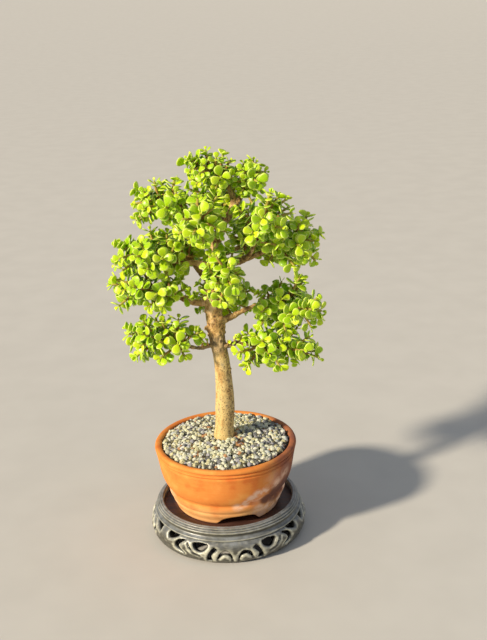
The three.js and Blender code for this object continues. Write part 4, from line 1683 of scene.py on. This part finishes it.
class Thicket:
    """Everything that twigs and leaves of another spray keep clear of: straight rods with a radius."""

    def __init__(self, clearance: float, most: int = 8192) -> None:
        """Starts empty.

        Args:
            clearance: the least clearance in mm.
            most: how many rods it can hold.
        """
        self.clearance = clearance
        self.starts = np.zeros((most, 3))
        self.ends = np.zeros((most, 3))
        self.radii = np.zeros(most)
        self.owners = np.zeros(most, object)
        self.count = 0

    def add(self, owner: str, start: Array, end: Array, radius: float) -> None:
        """Adds a rod.

        Args:
            owner: the spray that it belongs to, or the wood.
            start: one end.
            end: the other end.
            radius: its radius in mm.
        """
        i = self.count
        self.starts[i], self.ends[i], self.radii[i], self.owners[i] = start, end, radius, owner
        self.count += 1

    def clear(self, owner: str, start: Array, end: Array, radius: float) -> bool:
        """Whether a rod keeps clear of all rods of other owners.

        The nearest places of two straight pieces come from the two equations that make the line
        between them square to both, held to the pieces' ends.

        Args:
            owner: the spray whose rods don't count.
            start: one end.
            end: the other end.
            radius: its radius in mm.

        Returns:
            True where all are further off than the clearance.
        """
        other = self.owners[: self.count] != owner
        a, b = self.starts[: self.count][other], self.ends[: self.count][other]
        d1, d2, r = end - start, b - a, start - a
        aa, ee = float(d1 @ d1), np.einsum("ij,ij->i", d2, d2)
        f, c, cross = np.einsum("ij,ij->i", d2, r), r @ d1, d2 @ d1
        point = ee < 1e-9
        safe = np.where(point, 1, ee)
        if aa < 1e-9:
            s = np.zeros(len(a))
            t = np.where(point, 0, np.clip(f / safe, 0, 1))
        else:
            down = aa * ee - cross * cross
            s = np.where(down > 1e-9, np.clip((cross * f - c * ee) / np.where(down > 1e-9, down, 1), 0, 1), 0)
            t = (cross * s + f) / safe
            s = np.where(point | (t < 0), np.clip(-c / aa, 0, 1), s)
            s = np.where(~point & (t > 1), np.clip((cross - c) / aa, 0, 1), s)
            t = np.where(point, 0, np.clip(t, 0, 1))
        near = start + s[:, None] * d1 - a - t[:, None] * d2
        needed = radius + self.radii[: self.count][other] + self.clearance
        return bool(np.all(np.linalg.norm(near, axis=1) > needed))


@dataclass
class Foliage:
    """The leafy sprays: the twigs and leaves of the frame's solids, and more that fill them. In mm."""

    seed: int = 20531
    fill_seed: int = 9173
    clearance: float = 0.45  # between two nodes of the tree
    # stems and side twigs
    stem_fill: float = 0.92  # a stem ends at this share of the way to its space's surface
    stem_lean: float = 0.5  # how far it keeps its branch's direction, as a share of its length
    stem_tip: float = 1.7
    twig_radii: Place = (1.8, 1.6, 1.4)  # at the root, in the outer half and at the tip
    thick: float = 1.9  # old bark reaches further out on a shoot with a thicker root
    twig_reach: Flat = (0.84, 0.97)  # shares of the way to the space's surface
    twig_down: float = 1.72  # how far down from the top of a ball of radius 1 the tips lie
    twig_starts: Flat = (0.25, 0.9)  # the stretch of the stem that carries twigs
    twig_earlier: float = 0.25  # a twig starts this share of the stem before its nearest place
    twig_middle: float = 0.45  # the place that it bends towards, as a share of its way
    twig_lean: float = 0.12  # and along the stem
    twig_shares: Place = (1, 0.85, 0.7)  # lengths that are tried
    shortest: float = 12.0
    # twigs that are filled in
    far_tries: int = 14
    far_up: Flat = (-0.8, 1)
    far_reach: Flat = (0.7, 0.97)
    far_past: float = 14.0  # how far the leaves of the outermost may pass the space
    # leaves, in shares of a leaf's length
    leaf_length: float = 16.0
    lengths: Flat = (0.88, 1.1)  # natural variation
    spreads: Flat = (0.86, 1.14)
    bare: float = 6.0  # a shoot has no leaves this close to its root
    room: float = 0.5  # what a leaf keeps clear of other sprays
    fill_room: float = 0.3
    sprout_room: float = 0.2
    middle: float = 0.56  # the middle of that room
    crowd: float = 0.38  # two leaves of a spray come no closer than this share of both lengths
    fill_crowd: float = 0.22
    later_crowd: float = 0.15
    sprout_crowd: float = 0.7  # a share of fill_crowd
    turn: float = 0.3  # how far leaves turn to the light
    fill_turn: float = 0.7
    light: Place = (-0.22, -0.5, 0.55)
    leaf_rings: int = 6
    leaf_sides: int = 8
    leaf_width: float = 0.8
    leaf_depth: float = 0.15
    widest: float = 0.66
    twig_sides: int = 7
    ring_step: float = 2.3
    knuckle: Flat = (0.22, 1.3)  # how much a twig swells where leaves grow, and over how many mm

    def __post_init__(self) -> None:
        """Lays out the sprays."""
        self.thicket = Thicket(self.clearance)
        self.leaves: list[Leaf] = []
        self.shoots: list[Shoot] = []
        self.crowns = {name: (np.zeros((0, 3)), np.zeros(0)) for name in SPRAYS}
        self.lay_out()

    def add_rods(self, owner: str, curve: Curve, radii: Array) -> None:
        """Adds a curve to the thicket as straight pieces.

        Args:
            owner: the spray that it belongs to, or the wood.
            curve: the curve.
            radii: the radius at each end of a piece.
        """
        places = curve.at(np.linspace(0, 1, len(radii)))
        for k in range(len(radii) - 1):
            self.thicket.add(owner, places[k], places[k + 1], max(radii[k], radii[k + 1]))

    def stem(self, name: str) -> Shoot:
        """The twig that carries a spray: on from its branch and through the middle of its space.

        Args:
            name: the spray's name.

        Returns:
            The stem.
        """
        spray = SPRAYS[name]
        if name in BRANCHES:
            carrier, radius = BRANCHES[name].curve(), BRANCHES[name].end
        else:
            carrier, radius = TRUNK_CURVE, TRUNK_LINE[-1][3]
        heading = carrier.heading(1.0)
        root = carrier.spot(1.0) + heading * GAP
        centre = np.array(spray.centre, float)
        reach = float(np.linalg.norm(centre - root))
        onward = (centre - root) / reach
        surface = 1 / float(np.linalg.norm(onward / spray.half))
        end = centre + onward * self.stem_fill * surface
        return Shoot(name, Bend(root, root + heading * self.stem_lean * reach, end), radius, self.stem_tip)

    def twig_tip(self, spray: Spray, k: int, dice: Dice) -> Array:
        """Where a side twig ends: the golden angle shares out the surface of the spray's space.

        Args:
            spray: the spray.
            k: the twig's number.
            dice: the stream for the angle and the reach.

        Returns:
            The place of its tip.
        """
        up = 1 - self.twig_down * (k + 0.5) / spray.twigs
        around = GOLDEN_ANGLE * k + dice.between(0, 0.7)
        ring = math.sqrt(1 - up * up)
        reach = dice.between(*self.twig_reach)
        spot = np.array([ring * math.cos(around), ring * math.sin(around), up]) * spray.half
        return np.array(spray.centre) + spot * reach

    def side_twig(self, name: str, carrier: Shoot, tip: Array) -> Shoot | None:
        """A twig from a stem towards a tip, shorter where it would touch another node.

        Args:
            name: the spray's name.
            carrier: the stem.
            tip: the place that it reaches for.

        Returns:
            The twig, or None where there is no room.
        """
        shares = np.arange(21) / 20
        nearest = shares[np.argmin(np.linalg.norm(carrier.curve.at(shares) - tip, axis=1))]
        first, last = self.twig_starts
        along = min(max(nearest - self.twig_earlier, first), last)
        start, lean = carrier.curve.spot(along), carrier.curve.heading(along)
        root, outer, thin = self.twig_radii
        for share in self.twig_shares:
            end = start + (tip - start) * share
            length = float(np.linalg.norm(end - start))
            bend = start + (end - start) * self.twig_middle + lean * self.twig_lean * length
            curve = Bend(start, bend, end)
            places = curve.at(np.array([0, 0.5, 1]))
            pieces = [(places[0], places[1], root), (places[1], places[2], outer)]
            if length < self.shortest or not all(self.thicket.clear(name, *piece) for piece in pieces):
                continue
            for piece in pieces:
                self.thicket.add(name, *piece)
            return Shoot(name, curve, root, thin)
        return None

    def turn_side(self, shoot: Shoot, dice: Dice) -> None:
        """Sets the direction that a shoot's first face looks in: level, turned by chance.

        Args:
            shoot: the shoot.
            dice: the stream for the turn.
        """
        axis = shoot.curve.heading(0.5)
        level = unit(np.array([axis[1], -axis[0], 0.02]))
        angle = dice.between(0, math.pi / 2)
        along = (axis @ level) * axis
        shoot.side = level * math.cos(angle) + np.cross(axis, level) * math.sin(angle)
        shoot.side += along * (1 - math.cos(angle))
        shoot.length = float(shoot.curve.lengths()[-1])

    def add_pair(self, shoot: Shoot, pair: Pair, dice: Dice, chance: Dice, crowd: float, room: float) -> None:
        """Adds a pair's leaves where there is room.

        Args:
            shoot: the twig that carries them.
            pair: their place on it, size and spread.
            dice: the stream for spread and length.
            chance: the stream for what only shows, such as tone.
            crowd: the least distance from another leaf of the spray, as a share of both lengths.
            room: the radius that a leaf keeps clear of other sprays, as a share of its length.
        """
        if pair.back > shoot.length - self.bare:
            return
        share = shoot.curve.share_at(1 - pair.back / shoot.length)
        centre, axis = shoot.curve.spot(share), shoot.curve.heading(share)
        u = unit(shoot.side - (shoot.side @ axis) * axis)
        faces = (u, np.cross(axis, u), -u, -np.cross(axis, u))
        name = shoot.owner
        for face in (pair.face, pair.face + 2):
            angle = math.radians(pair.spread) * dice.between(*self.spreads)
            length = self.leaf_length * pair.size * dice.between(*self.lengths)
            if dice is chance:
                length *= shoot.young
            aside = faces[face]
            out = aside * math.sin(angle) + axis * math.cos(angle)
            up = axis * math.sin(angle) - aside * math.cos(angle)
            middle = centre + out * self.middle * length
            if dice is chance and self.sticks_out(name, centre + out * length, shoot.past):
                continue
            places, lengths = self.crowns[name]
            near = np.linalg.norm(places - middle, axis=1) < crowd * (lengths + length)
            if near.any() or not self.thicket.clear(name, middle, middle, room * length):
                continue
            self.thicket.add(name, middle, middle, room * length)
            self.crowns[name] = (np.vstack([places, middle]), np.append(lengths, length))
            tone = 0.78 - pair.back / 48 + chance.between(-0.26, 0.26)
            turn = self.fill_turn if dice is chance else self.turn
            self.leaves.append(Leaf(name, centre, out, up, length, tone, chance.between(0, 1), turn))
            shoot.knuckles.append(share)

    def sticks_out(self, name: str, place: Array, past: float) -> bool:
        """Whether a place lies outside a spray's space, widened by a length in mm."""
        spray = SPRAYS[name]
        return float(np.linalg.norm((place - spray.centre) / (np.array(spray.half) + past))) > 1

    def far_tip(self, name: str, tips: list[Array], chance: Dice) -> Array:
        """Tries several places in a spray's outer space and takes the one furthest from other tips.

        Args:
            name: the spray's name.
            tips: the tips that are there.
            chance: the stream for the places.

        Returns:
            The new tip.
        """
        spray = SPRAYS[name]
        best, widest = None, -1.0
        for _ in range(self.far_tries):
            up = chance.between(*self.far_up)
            around = chance.between(0, 2 * math.pi)
            ring = math.sqrt(1 - up * up)
            spot = np.array([ring * math.cos(around), ring * math.sin(around), up]) * spray.half
            tip = np.array(spray.centre) + spot * chance.between(*self.far_reach)
            away = min(float(np.linalg.norm(tip - other)) for other in tips)
            if away > widest:
                best, widest = tip, away
        return best

    def lay_out(self) -> None:
        """Repeats the rule that placed the solids' twigs and leaves, then fills in more."""
        dice, chance = Dice(self.seed), Dice(self.fill_seed)
        self.add_rods("wood", TRUNK_CURVE, np.array([p[3] for p in TRUNK_LINE]))
        for branch in BRANCHES.values():
            steps = 2 * (len(branch.places) - 1)
            self.add_rods("wood", branch.curve(), np.linspace(branch.root, branch.end, steps + 1))
        stems = {name: self.stem(name) for name in SPRAYS}
        for name, stem in stems.items():
            self.add_rods(name, stem.curve, np.linspace(stem.root, stem.tip, 6))
        grown: dict[str, list[Shoot]] = {}
        for name, spray in SPRAYS.items():
            tips = (self.twig_tip(spray, k, dice) for k in range(spray.twigs))
            made = (self.side_twig(name, stems[name], tip) for tip in tips)
            grown[name] = [twig for twig in made if twig] + [stems[name]]
        for shoot in itertools.chain.from_iterable(grown.values()):
            self.turn_side(shoot, dice)
            for pair in FIRST_PAIRS:
                self.add_pair(shoot, pair, dice, chance, self.crowd, self.room)
            self.shoots.append(shoot)
        LOG.info("leaves that the solids have: %d", len(self.leaves))
        for name, shoots in grown.items():
            self.fill_in(name, shoots, chance)
        self.sprout(chance)
        LOG.info("leaves in all: %d on %d twigs", len(self.leaves), len(self.shoots))

    def fill_in(self, name: str, shoots: list[Shoot], chance: Dice) -> None:
        """Fills a spray with fresh twigs and with more leaves on those that it has.

        Args:
            name: the spray's name.
            shoots: its twigs, the stem last.
            chance: the stream for what only shows.
        """
        spray = SPRAYS[name]
        tips = [shoot.curve.spot(1.0) for shoot in shoots]
        fresh = []
        for k in range(spray.more):
            placed = k < len(spray.tips)
            tip = np.array(spray.tips[k], float) if placed else self.far_tip(name, tips, chance)
            tips.append(tip)
            twig = self.side_twig(name, shoots[-1], tip)
            if twig:
                twig.past = self.far_past if placed else twig.past
                self.turn_side(twig, chance)
                fresh.append(twig)
        for shoot in [*fresh, *shoots]:
            shoot.young = spray.young
        for shoot, pair in itertools.product(fresh, NEW_PAIRS):
            self.add_pair(shoot, pair, chance, chance, self.fill_crowd, self.fill_room)
        for shoot, pair in itertools.product(shoots, LATER_PAIRS):
            self.add_pair(shoot, pair, chance, chance, self.later_crowd, self.fill_room)
        self.shoots += fresh

    def sprout(self, chance: Dice) -> None:
        """Adds the short shoots on bare wood.

        Args:
            chance: the stream for what only shows.
        """
        crowd = self.fill_crowd * self.sprout_crowd
        for sprout in SPROUTS:
            start, end = np.array(sprout.root, float), np.array(sprout.tip, float)
            bend = start + (end - start) * [0.3, 0.75, 0.35]
            shoot = Shoot(sprout.owner, Bend(start, bend, end), 1.4, 0.9, young=sprout.size)
            self.turn_side(shoot, chance)
            for pair in SPROUT_PAIRS if sprout.size < 0.9 else NEW_PAIRS:
                self.add_pair(shoot, pair, chance, chance, crowd, self.sprout_room)
            self.shoots.append(shoot)

    def face_light(self, name: str, own: dict[str, Array]) -> Array:
        """Rolls leaves about their own length towards the light.

        The wanted direction is the way out of the spray, plus the way to the light, plus a whim. Its part
        square to the leaf is mixed with the leaf's own upper direction.

        Args:
            name: the spray's name.
            own: each value of its leaves, as an array.

        Returns:
            The leaves' upper directions, one row each.
        """
        spray, out, turn = SPRAYS[name], own["out"], own["turn"][:, None]
        middle = own["foot"] + out * (self.middle * own["length"])[:, None]
        away = unit((middle - spray.centre) / np.array(spray.half)) * 0.7 + self.light
        away = away + 0.45 * np.sin(own["whim"][:, None] * np.array([39.0, 71.0, 113.0]))
        wanted = unit(away - np.einsum("ij,ij->i", away, out)[:, None] * out)
        return unit(own["up"] * (1 - turn) + wanted * turn)

    def half_width(self, along: Array) -> Array:
        """Half the leaf's width as a share of its length: a rounded bulge, wedge-shaped at the foot."""
        bulge = along ** (math.log(0.5) / math.log(self.widest))
        rounded = np.sqrt(np.maximum(1 - np.abs(2 * bulge - 1) ** 2.2, 0))
        return self.leaf_width / 2 * rounded * (1 - np.exp(-along / 0.22)) / 0.96

    def blank(self) -> tuple[Array, Array, Array, Array]:
        """A flat leaf of length 1: a grid of rings from foot to tip, each ring a flat oval.

        Returns:
            How far each point lies along, aside and up, and how near to the rim.
        """
        step = np.arange(1, self.leaf_rings + 1) / (self.leaf_rings + 1)
        along = (1 - np.cos(math.pi * step)) / 2
        width = self.half_width(along)
        depth = self.leaf_depth / 2 * (2 * width / self.leaf_width) ** 0.75
        angle = np.arange(self.leaf_sides) * 2 * math.pi / self.leaf_sides
        s = np.concatenate([np.repeat(along, self.leaf_sides), [0.0, 1.0]])
        x = np.concatenate([np.outer(width, np.cos(angle)).ravel(), [0.0, 0.0]])
        z = np.concatenate([np.outer(depth, np.sin(angle)).ravel(), [0.0, 0.0]])
        rim = np.concatenate([np.tile(np.cos(angle) ** 2, self.leaf_rings), [0.0, 1.0]])
        rim = np.maximum(rim * np.clip(4 * s, 0, 1), np.clip((s - 0.8) / 0.2, 0, 1) ** 2)
        return s, x, z, rim

    def leaf_piece(self, name: str, finish: Material) -> Object:
        """All leaves of one spray.

        Each is the flat leaf, its middle lifted by the curl times the square of the way along, its
        sides by the cup times the square of the way aside, and leaning aside by the square of the way
        along.

        Args:
            name: the spray's name.
            finish: its green.

        Returns:
            The piece.
        """
        leaves = [leaf for leaf in self.leaves if leaf.owner == name]
        own = {key: np.array([getattr(leaf, key) for leaf in leaves]) for key in vars(leaves[0])}
        out, whim = own["out"], own["whim"]
        up = self.face_light(name, own)
        across = np.cross(up, out)
        s, x, z, rim = self.blank()
        curl = (0.17 * ((whim * 7.3) % 1) - 0.07)[:, None]
        cup = (0.5 * ((whim * 3.7) % 1) - 0.05)[:, None]
        lean = (0.12 * ((whim * 5.1) % 1) - 0.06)[:, None]
        rise = z + curl * s**2 + cup * x**2 / self.leaf_width
        aside = x + lean * s**2
        local = s[None, :, None] * out[:, None] + aside[..., None] * across[:, None]
        local += rise[..., None] * up[:, None]
        points = own["foot"][:, None] + local * own["length"][:, None, None]
        ring = np.arange(self.leaf_sides)
        last = (self.leaf_rings - 1) * self.leaf_sides
        count = len(s)
        quads = grid_faces(self.leaf_rings, self.leaf_sides)
        ends = np.concatenate([fan_faces(count - 2, ring, True), fan_faces(count - 1, last + ring, False)])
        shift = np.arange(len(leaves))[:, None, None] * count
        faces = [(f[None] + shift).reshape(-1, f.shape[1]) for f in (quads, ends)]
        shape = Shape()
        shape.add(
            points.reshape(-1, 3),
            faces,
            rim=np.tile(rim, len(leaves)),
            along=np.tile(s, len(leaves)),
            tone=np.repeat(own["tone"], count),
        )
        return shape.to_object(f"leaves_{name}", finish)

    def twig_piece(self, name: str, finish: Material) -> Object:
        """All twigs of one spray: round bars, swollen where leaves grow.

        Args:
            name: the spray's name.
            finish: their bark.

        Returns:
            The piece.
        """
        shape = Shape()
        swollen, width = self.knuckle
        for shoot in (s for s in self.shoots if s.owner == name):
            rings = max(8, int(shoot.length / self.ring_step))
            shares = np.linspace(0, 1, rings)
            knots = np.array(shoot.knuckles or [1.0])
            off = (shares[:, None] - knots) * shoot.length / width
            swell = 1 + swollen * np.exp(-(off**2)).max(axis=1)
            path = shoot.curve.at(shares)
            wobble = np.stack([lattice_noise(path, 9, k) for k in (21, 22, 23)], axis=-1)
            path = path + 0.5 * wobble * np.minimum(1, 6 * shares * (1 - shares))[:, None]
            radii = (shoot.root + (shoot.tip - shoot.root) * shares) * swell
            radii[-1] *= 0.55
            points, faces = tube(path, radii, self.twig_sides)
            age = (1 - shares) * (1.0 if shoot.root > self.thick else 0.62) + 0.02
            shape.add(points, faces, age=np.append(np.repeat(age, self.twig_sides), [age[0], age[-1]]))
        return shape.to_object(f"twigs_{name}", finish)

    def build(self) -> None:
        """Builds the pieces of every spray."""
        green, young = LeafFinish().make(), TwigFinish().make()
        for name in SPRAYS:
            dress(self.leaf_piece(name, green), Slot.LEAVES, f"spray_{name}")
            dress(self.twig_piece(name, young), Slot.BARK, f"spray_{name}")


@dataclass
class Wood:
    """Trunk, old stubs and branches, grown as one. Sizes in mm."""

    voxel: float = 0.9
    sides: int = 24
    bury: float = 99.0
    swell: float = 0.9
    swell_at: float = 0.235
    flare: float = 1.9
    flare_z: float = 141.0
    # places and radii of burrs and pruning scars
    burrs: tuple[tuple[Place, float], ...] = (
        ((-14.5, -6, 303), 4.4), ((3, -4, 309), 3.6), ((-3, -10, 300), 3.4), ((-11.5, -8, 316), 4.0),
        ((1, -7, 321), 3.4), ((-18, -3, 330), 3.8), ((-15.6, -4, 296), 3.0), ((3.6, 2, 297), 3.6),
        ((-9, 11, 305), 4.6), ((-18, 3, 346), 4.0), ((-3, -6, 342), 3.4), ((-14, -4, 361), 3.2),
        ((7, -8, 281), 2.8), ((-13, -5, 281), 3.0), ((11.5, -6, 246), 1.8), ((-9, -9, 233), 1.7),
        ((1, 4, 397), 3.4), ((-10, 2, 391), 3.2), ((3, -2, 424), 3.2), ((13, 2, 449), 3.0),
    )

    def limb(self, shape: Shape, curve: Curve, root: float, end: float) -> None:
        """Adds a branch, flared at its root: the radius grows by half in the first few millimetres.

        Args:
            shape: the shape that it joins.
            curve: its middle line.
            root: its radius there, without the flare.
            end: its radius at the other end.
        """
        length = curve.lengths()[-1]
        rings = max(8, int(length / 1.5))
        shares = np.linspace(0, 1, rings)
        path = curve.at(shares)
        bumps = 1 + 0.14 * layered_noise(path, 7, 2, 41)
        radii = (root + (end - root) * shares) * bumps * (1 + 0.45 * np.exp(-shares * length / 7))
        shape.add(*tube(path, radii, self.sides))

    def build(self) -> None:
        """Fuses trunk, branches and burrs, then raises the bark's relief."""
        shape = Shape()
        shares = np.linspace(0, 1, 260)
        stops = np.linspace(0, 1, len(TRUNK_LINE))
        radii = np.interp(shares, stops, [p[3] for p in TRUNK_LINE])
        radii = radii + self.swell * np.exp(-(((shares - self.swell_at) / 0.05) ** 2))
        radii = radii + self.flare * np.exp(-(((TRUNK_CURVE.at(shares)[:, 2] - self.flare_z) / 9) ** 2))
        smooth = np.convolve(np.pad(radii, 7, mode="edge"), np.hanning(17)[1:-1] / 8, mode="valid")
        shape.add(*tube(TRUNK_CURVE.at(shares), smooth, 40, np.array([1.0, 0, 0])))
        for branch in BRANCHES.values():
            self.limb(shape, branch.curve(), branch.root, branch.end)
        burr, faces = ball()
        for place, radius in self.burrs:
            shape.add(burr * radius * [1, 1, 0.8] + place, [faces])
        made = shape.to_object("old_wood", BarkFinish().make())
        refine(made, self.voxel, 4)
        self.raise_bark(made)
        dress(made, Slot.BARK, "trunk_and_branches")

    def raise_bark(self, made: Object) -> None:
        """Moves each point along its normal by the bark's relief.

        The relief is the sum of knobs in layers, level rings round the lower trunk, and pits where a
        fine noise is low. It is rougher above the first branches.

        Args:
            made: the fused wood.
        """
        places, normals = vertex_arrays(made)
        height = places[:, 2]
        rough = np.clip((height - 250) / 45, 0, 1)
        knobs = layered_noise(places * [1, 1, 0.7], 4.2, 3, 3)
        broad = layered_noise(places * [1, 1, 0.5], 13, 2, 17)
        wave = height / 1.05 + 2.2 * lattice_noise(places, 8, 9)
        rings = np.maximum(np.sin(wave), 0) ** 3 * (0.5 + 0.5 * lattice_noise(places, 6, 12))
        pits = np.clip(-lattice_noise(places, 1.7, 31) - 0.3, 0, 1)
        flakes = 0.5 - np.abs(lattice_noise(places * [1, 1, 0.6], 3.6, 51))
        relief = knobs * (0.32 + 0.4 * rough) + 0.5 * broad * (0.6 + rough) + 0.22 * rings - 0.55 * pits
        relief = relief + 1.3 * rough * flakes
        slim = np.clip(np.linalg.norm(places[:, :2] - [-4, 0], axis=1) / 30, 0, 0.55)
        relief = relief * (1 - slim)
        shown = np.clip(0.5 + 0.42 * relief, 0, 1)
        moved = places + normals * relief[:, None]
        moved[:, 2] = np.maximum(moved[:, 2], self.bury)
        place_points(made, moved, relief=shown)


# Stage


@dataclass
class Studio:
    """Floor, lights and camera. Distances in metres."""

    floor_radius: float = 60.0
    floor_flat: float = 6.0
    floor_rise: float = 5.0
    aim: Place = (0, 0, 0.27)  # the middle of the tree
    key_place: Place = (-1.78, -1.11, 1.37)
    key_strength: float = 5.1
    key_angle: float = 0.09
    fill_place: Place = (1.6, -1.4, 1.1)
    fill_size: float = 1.4
    fill_watts: float = 2.6
    sky: float = 0.43
    eye: Place = (0.03156, -1.2226, 0.7326)
    pitch_deg: float = 18.89
    roll_deg: float = 2.04
    lens: float = 53.44
    sensor: float = 36.0

    def floor(self) -> None:
        """A plain round floor that rises slowly far off: by the square of the way past a first ring."""
        sides = 96
        reach = np.linspace(0, 1, 25)[1:] ** 1.5 * self.floor_radius
        past = (reach - self.floor_flat) / (self.floor_radius - self.floor_flat)
        lift = self.floor_rise * np.clip(past, 0, 1) ** 2
        angles = np.arange(sides) * 2 * math.pi / sides
        level = [np.outer(reach, np.cos(angles)), np.outer(reach, np.sin(angles))]
        rings = np.stack([*level, np.outer(lift, np.ones(sides))], axis=-1)
        shape = Shape()
        points = np.concatenate([rings.reshape(-1, 3), np.zeros((1, 3))]) / MM
        walls = grid_faces(len(reach), sides)[:, ::-1]
        shape.add(points, [walls, fan_faces(len(points) - 1, np.arange(sides), False)])
        shape.to_object("floor", FloorFinish().make())

    def lamp(self, data: bpy.types.Light, place: Place, code: str) -> None:
        """Puts a lamp where it looks at the middle of the tree.

        Args:
            data: the lamp.
            place: where it stands.
            code: its colour.
        """
        data.color = colour(code)[:3]
        made = bpy.data.objects.new(data.name, data)
        bpy.context.scene.collection.objects.link(made)
        aim = Vector(self.aim) - Vector(place)
        made.matrix_world = Matrix.Translation(place) @ aim.to_track_quat("-Z", "Y").to_matrix().to_4x4()

    def key(self) -> None:
        """The main light: low from the left front, with the soft shadows of a large lamp."""
        data = bpy.data.lights.new("key", "SUN")
        data.angle = self.key_angle
        data.energy = self.key_strength
        self.lamp(data, self.key_place, "fff0d6")

    def fill(self) -> None:
        """A faint wide lamp from the right front."""
        data = bpy.data.lights.new("fill", "AREA")
        data.size = self.fill_size
        data.energy = self.fill_watts
        self.lamp(data, self.fill_place, "e6efff")

    def camera(self) -> None:
        """The camera: pitched down, then rolled about its own line of sight."""
        data = bpy.data.cameras.new("camera")
        data.lens = self.lens
        data.sensor_width = self.sensor
        made = bpy.data.objects.new("camera", data)
        bpy.context.scene.collection.objects.link(made)
        pitch = Matrix.Rotation(math.radians(90 - self.pitch_deg), 4, "X")
        roll = Matrix.Rotation(math.radians(-self.roll_deg), 4, "Z")
        made.matrix_world = Matrix.Translation(self.eye) @ pitch @ roll
        bpy.context.scene.camera = made

    def build(self) -> None:
        """Sets up the stage."""
        world = bpy.data.worlds.new("studio")
        world.use_nodes = True
        background = world.node_tree.nodes["Background"]
        background.inputs["Color"].default_value = colour("dfe5ee")
        background.inputs["Strength"].default_value = self.sky
        bpy.context.scene.world = world
        bpy.context.scene.view_settings.view_transform = "Standard"
        self.floor()
        self.key()
        self.fill()
        self.camera()


def main() -> None:
    """Builds every part of the bonsai in order, then the stage."""
    logging.basicConfig(level=logging.INFO, format="%(message)s")
    Stand().build()
    Pot().build()
    Gravel().build()
    Wood().build()
    Foliage().build()
    Studio().build()


if __name__ == "__main__":
    main()
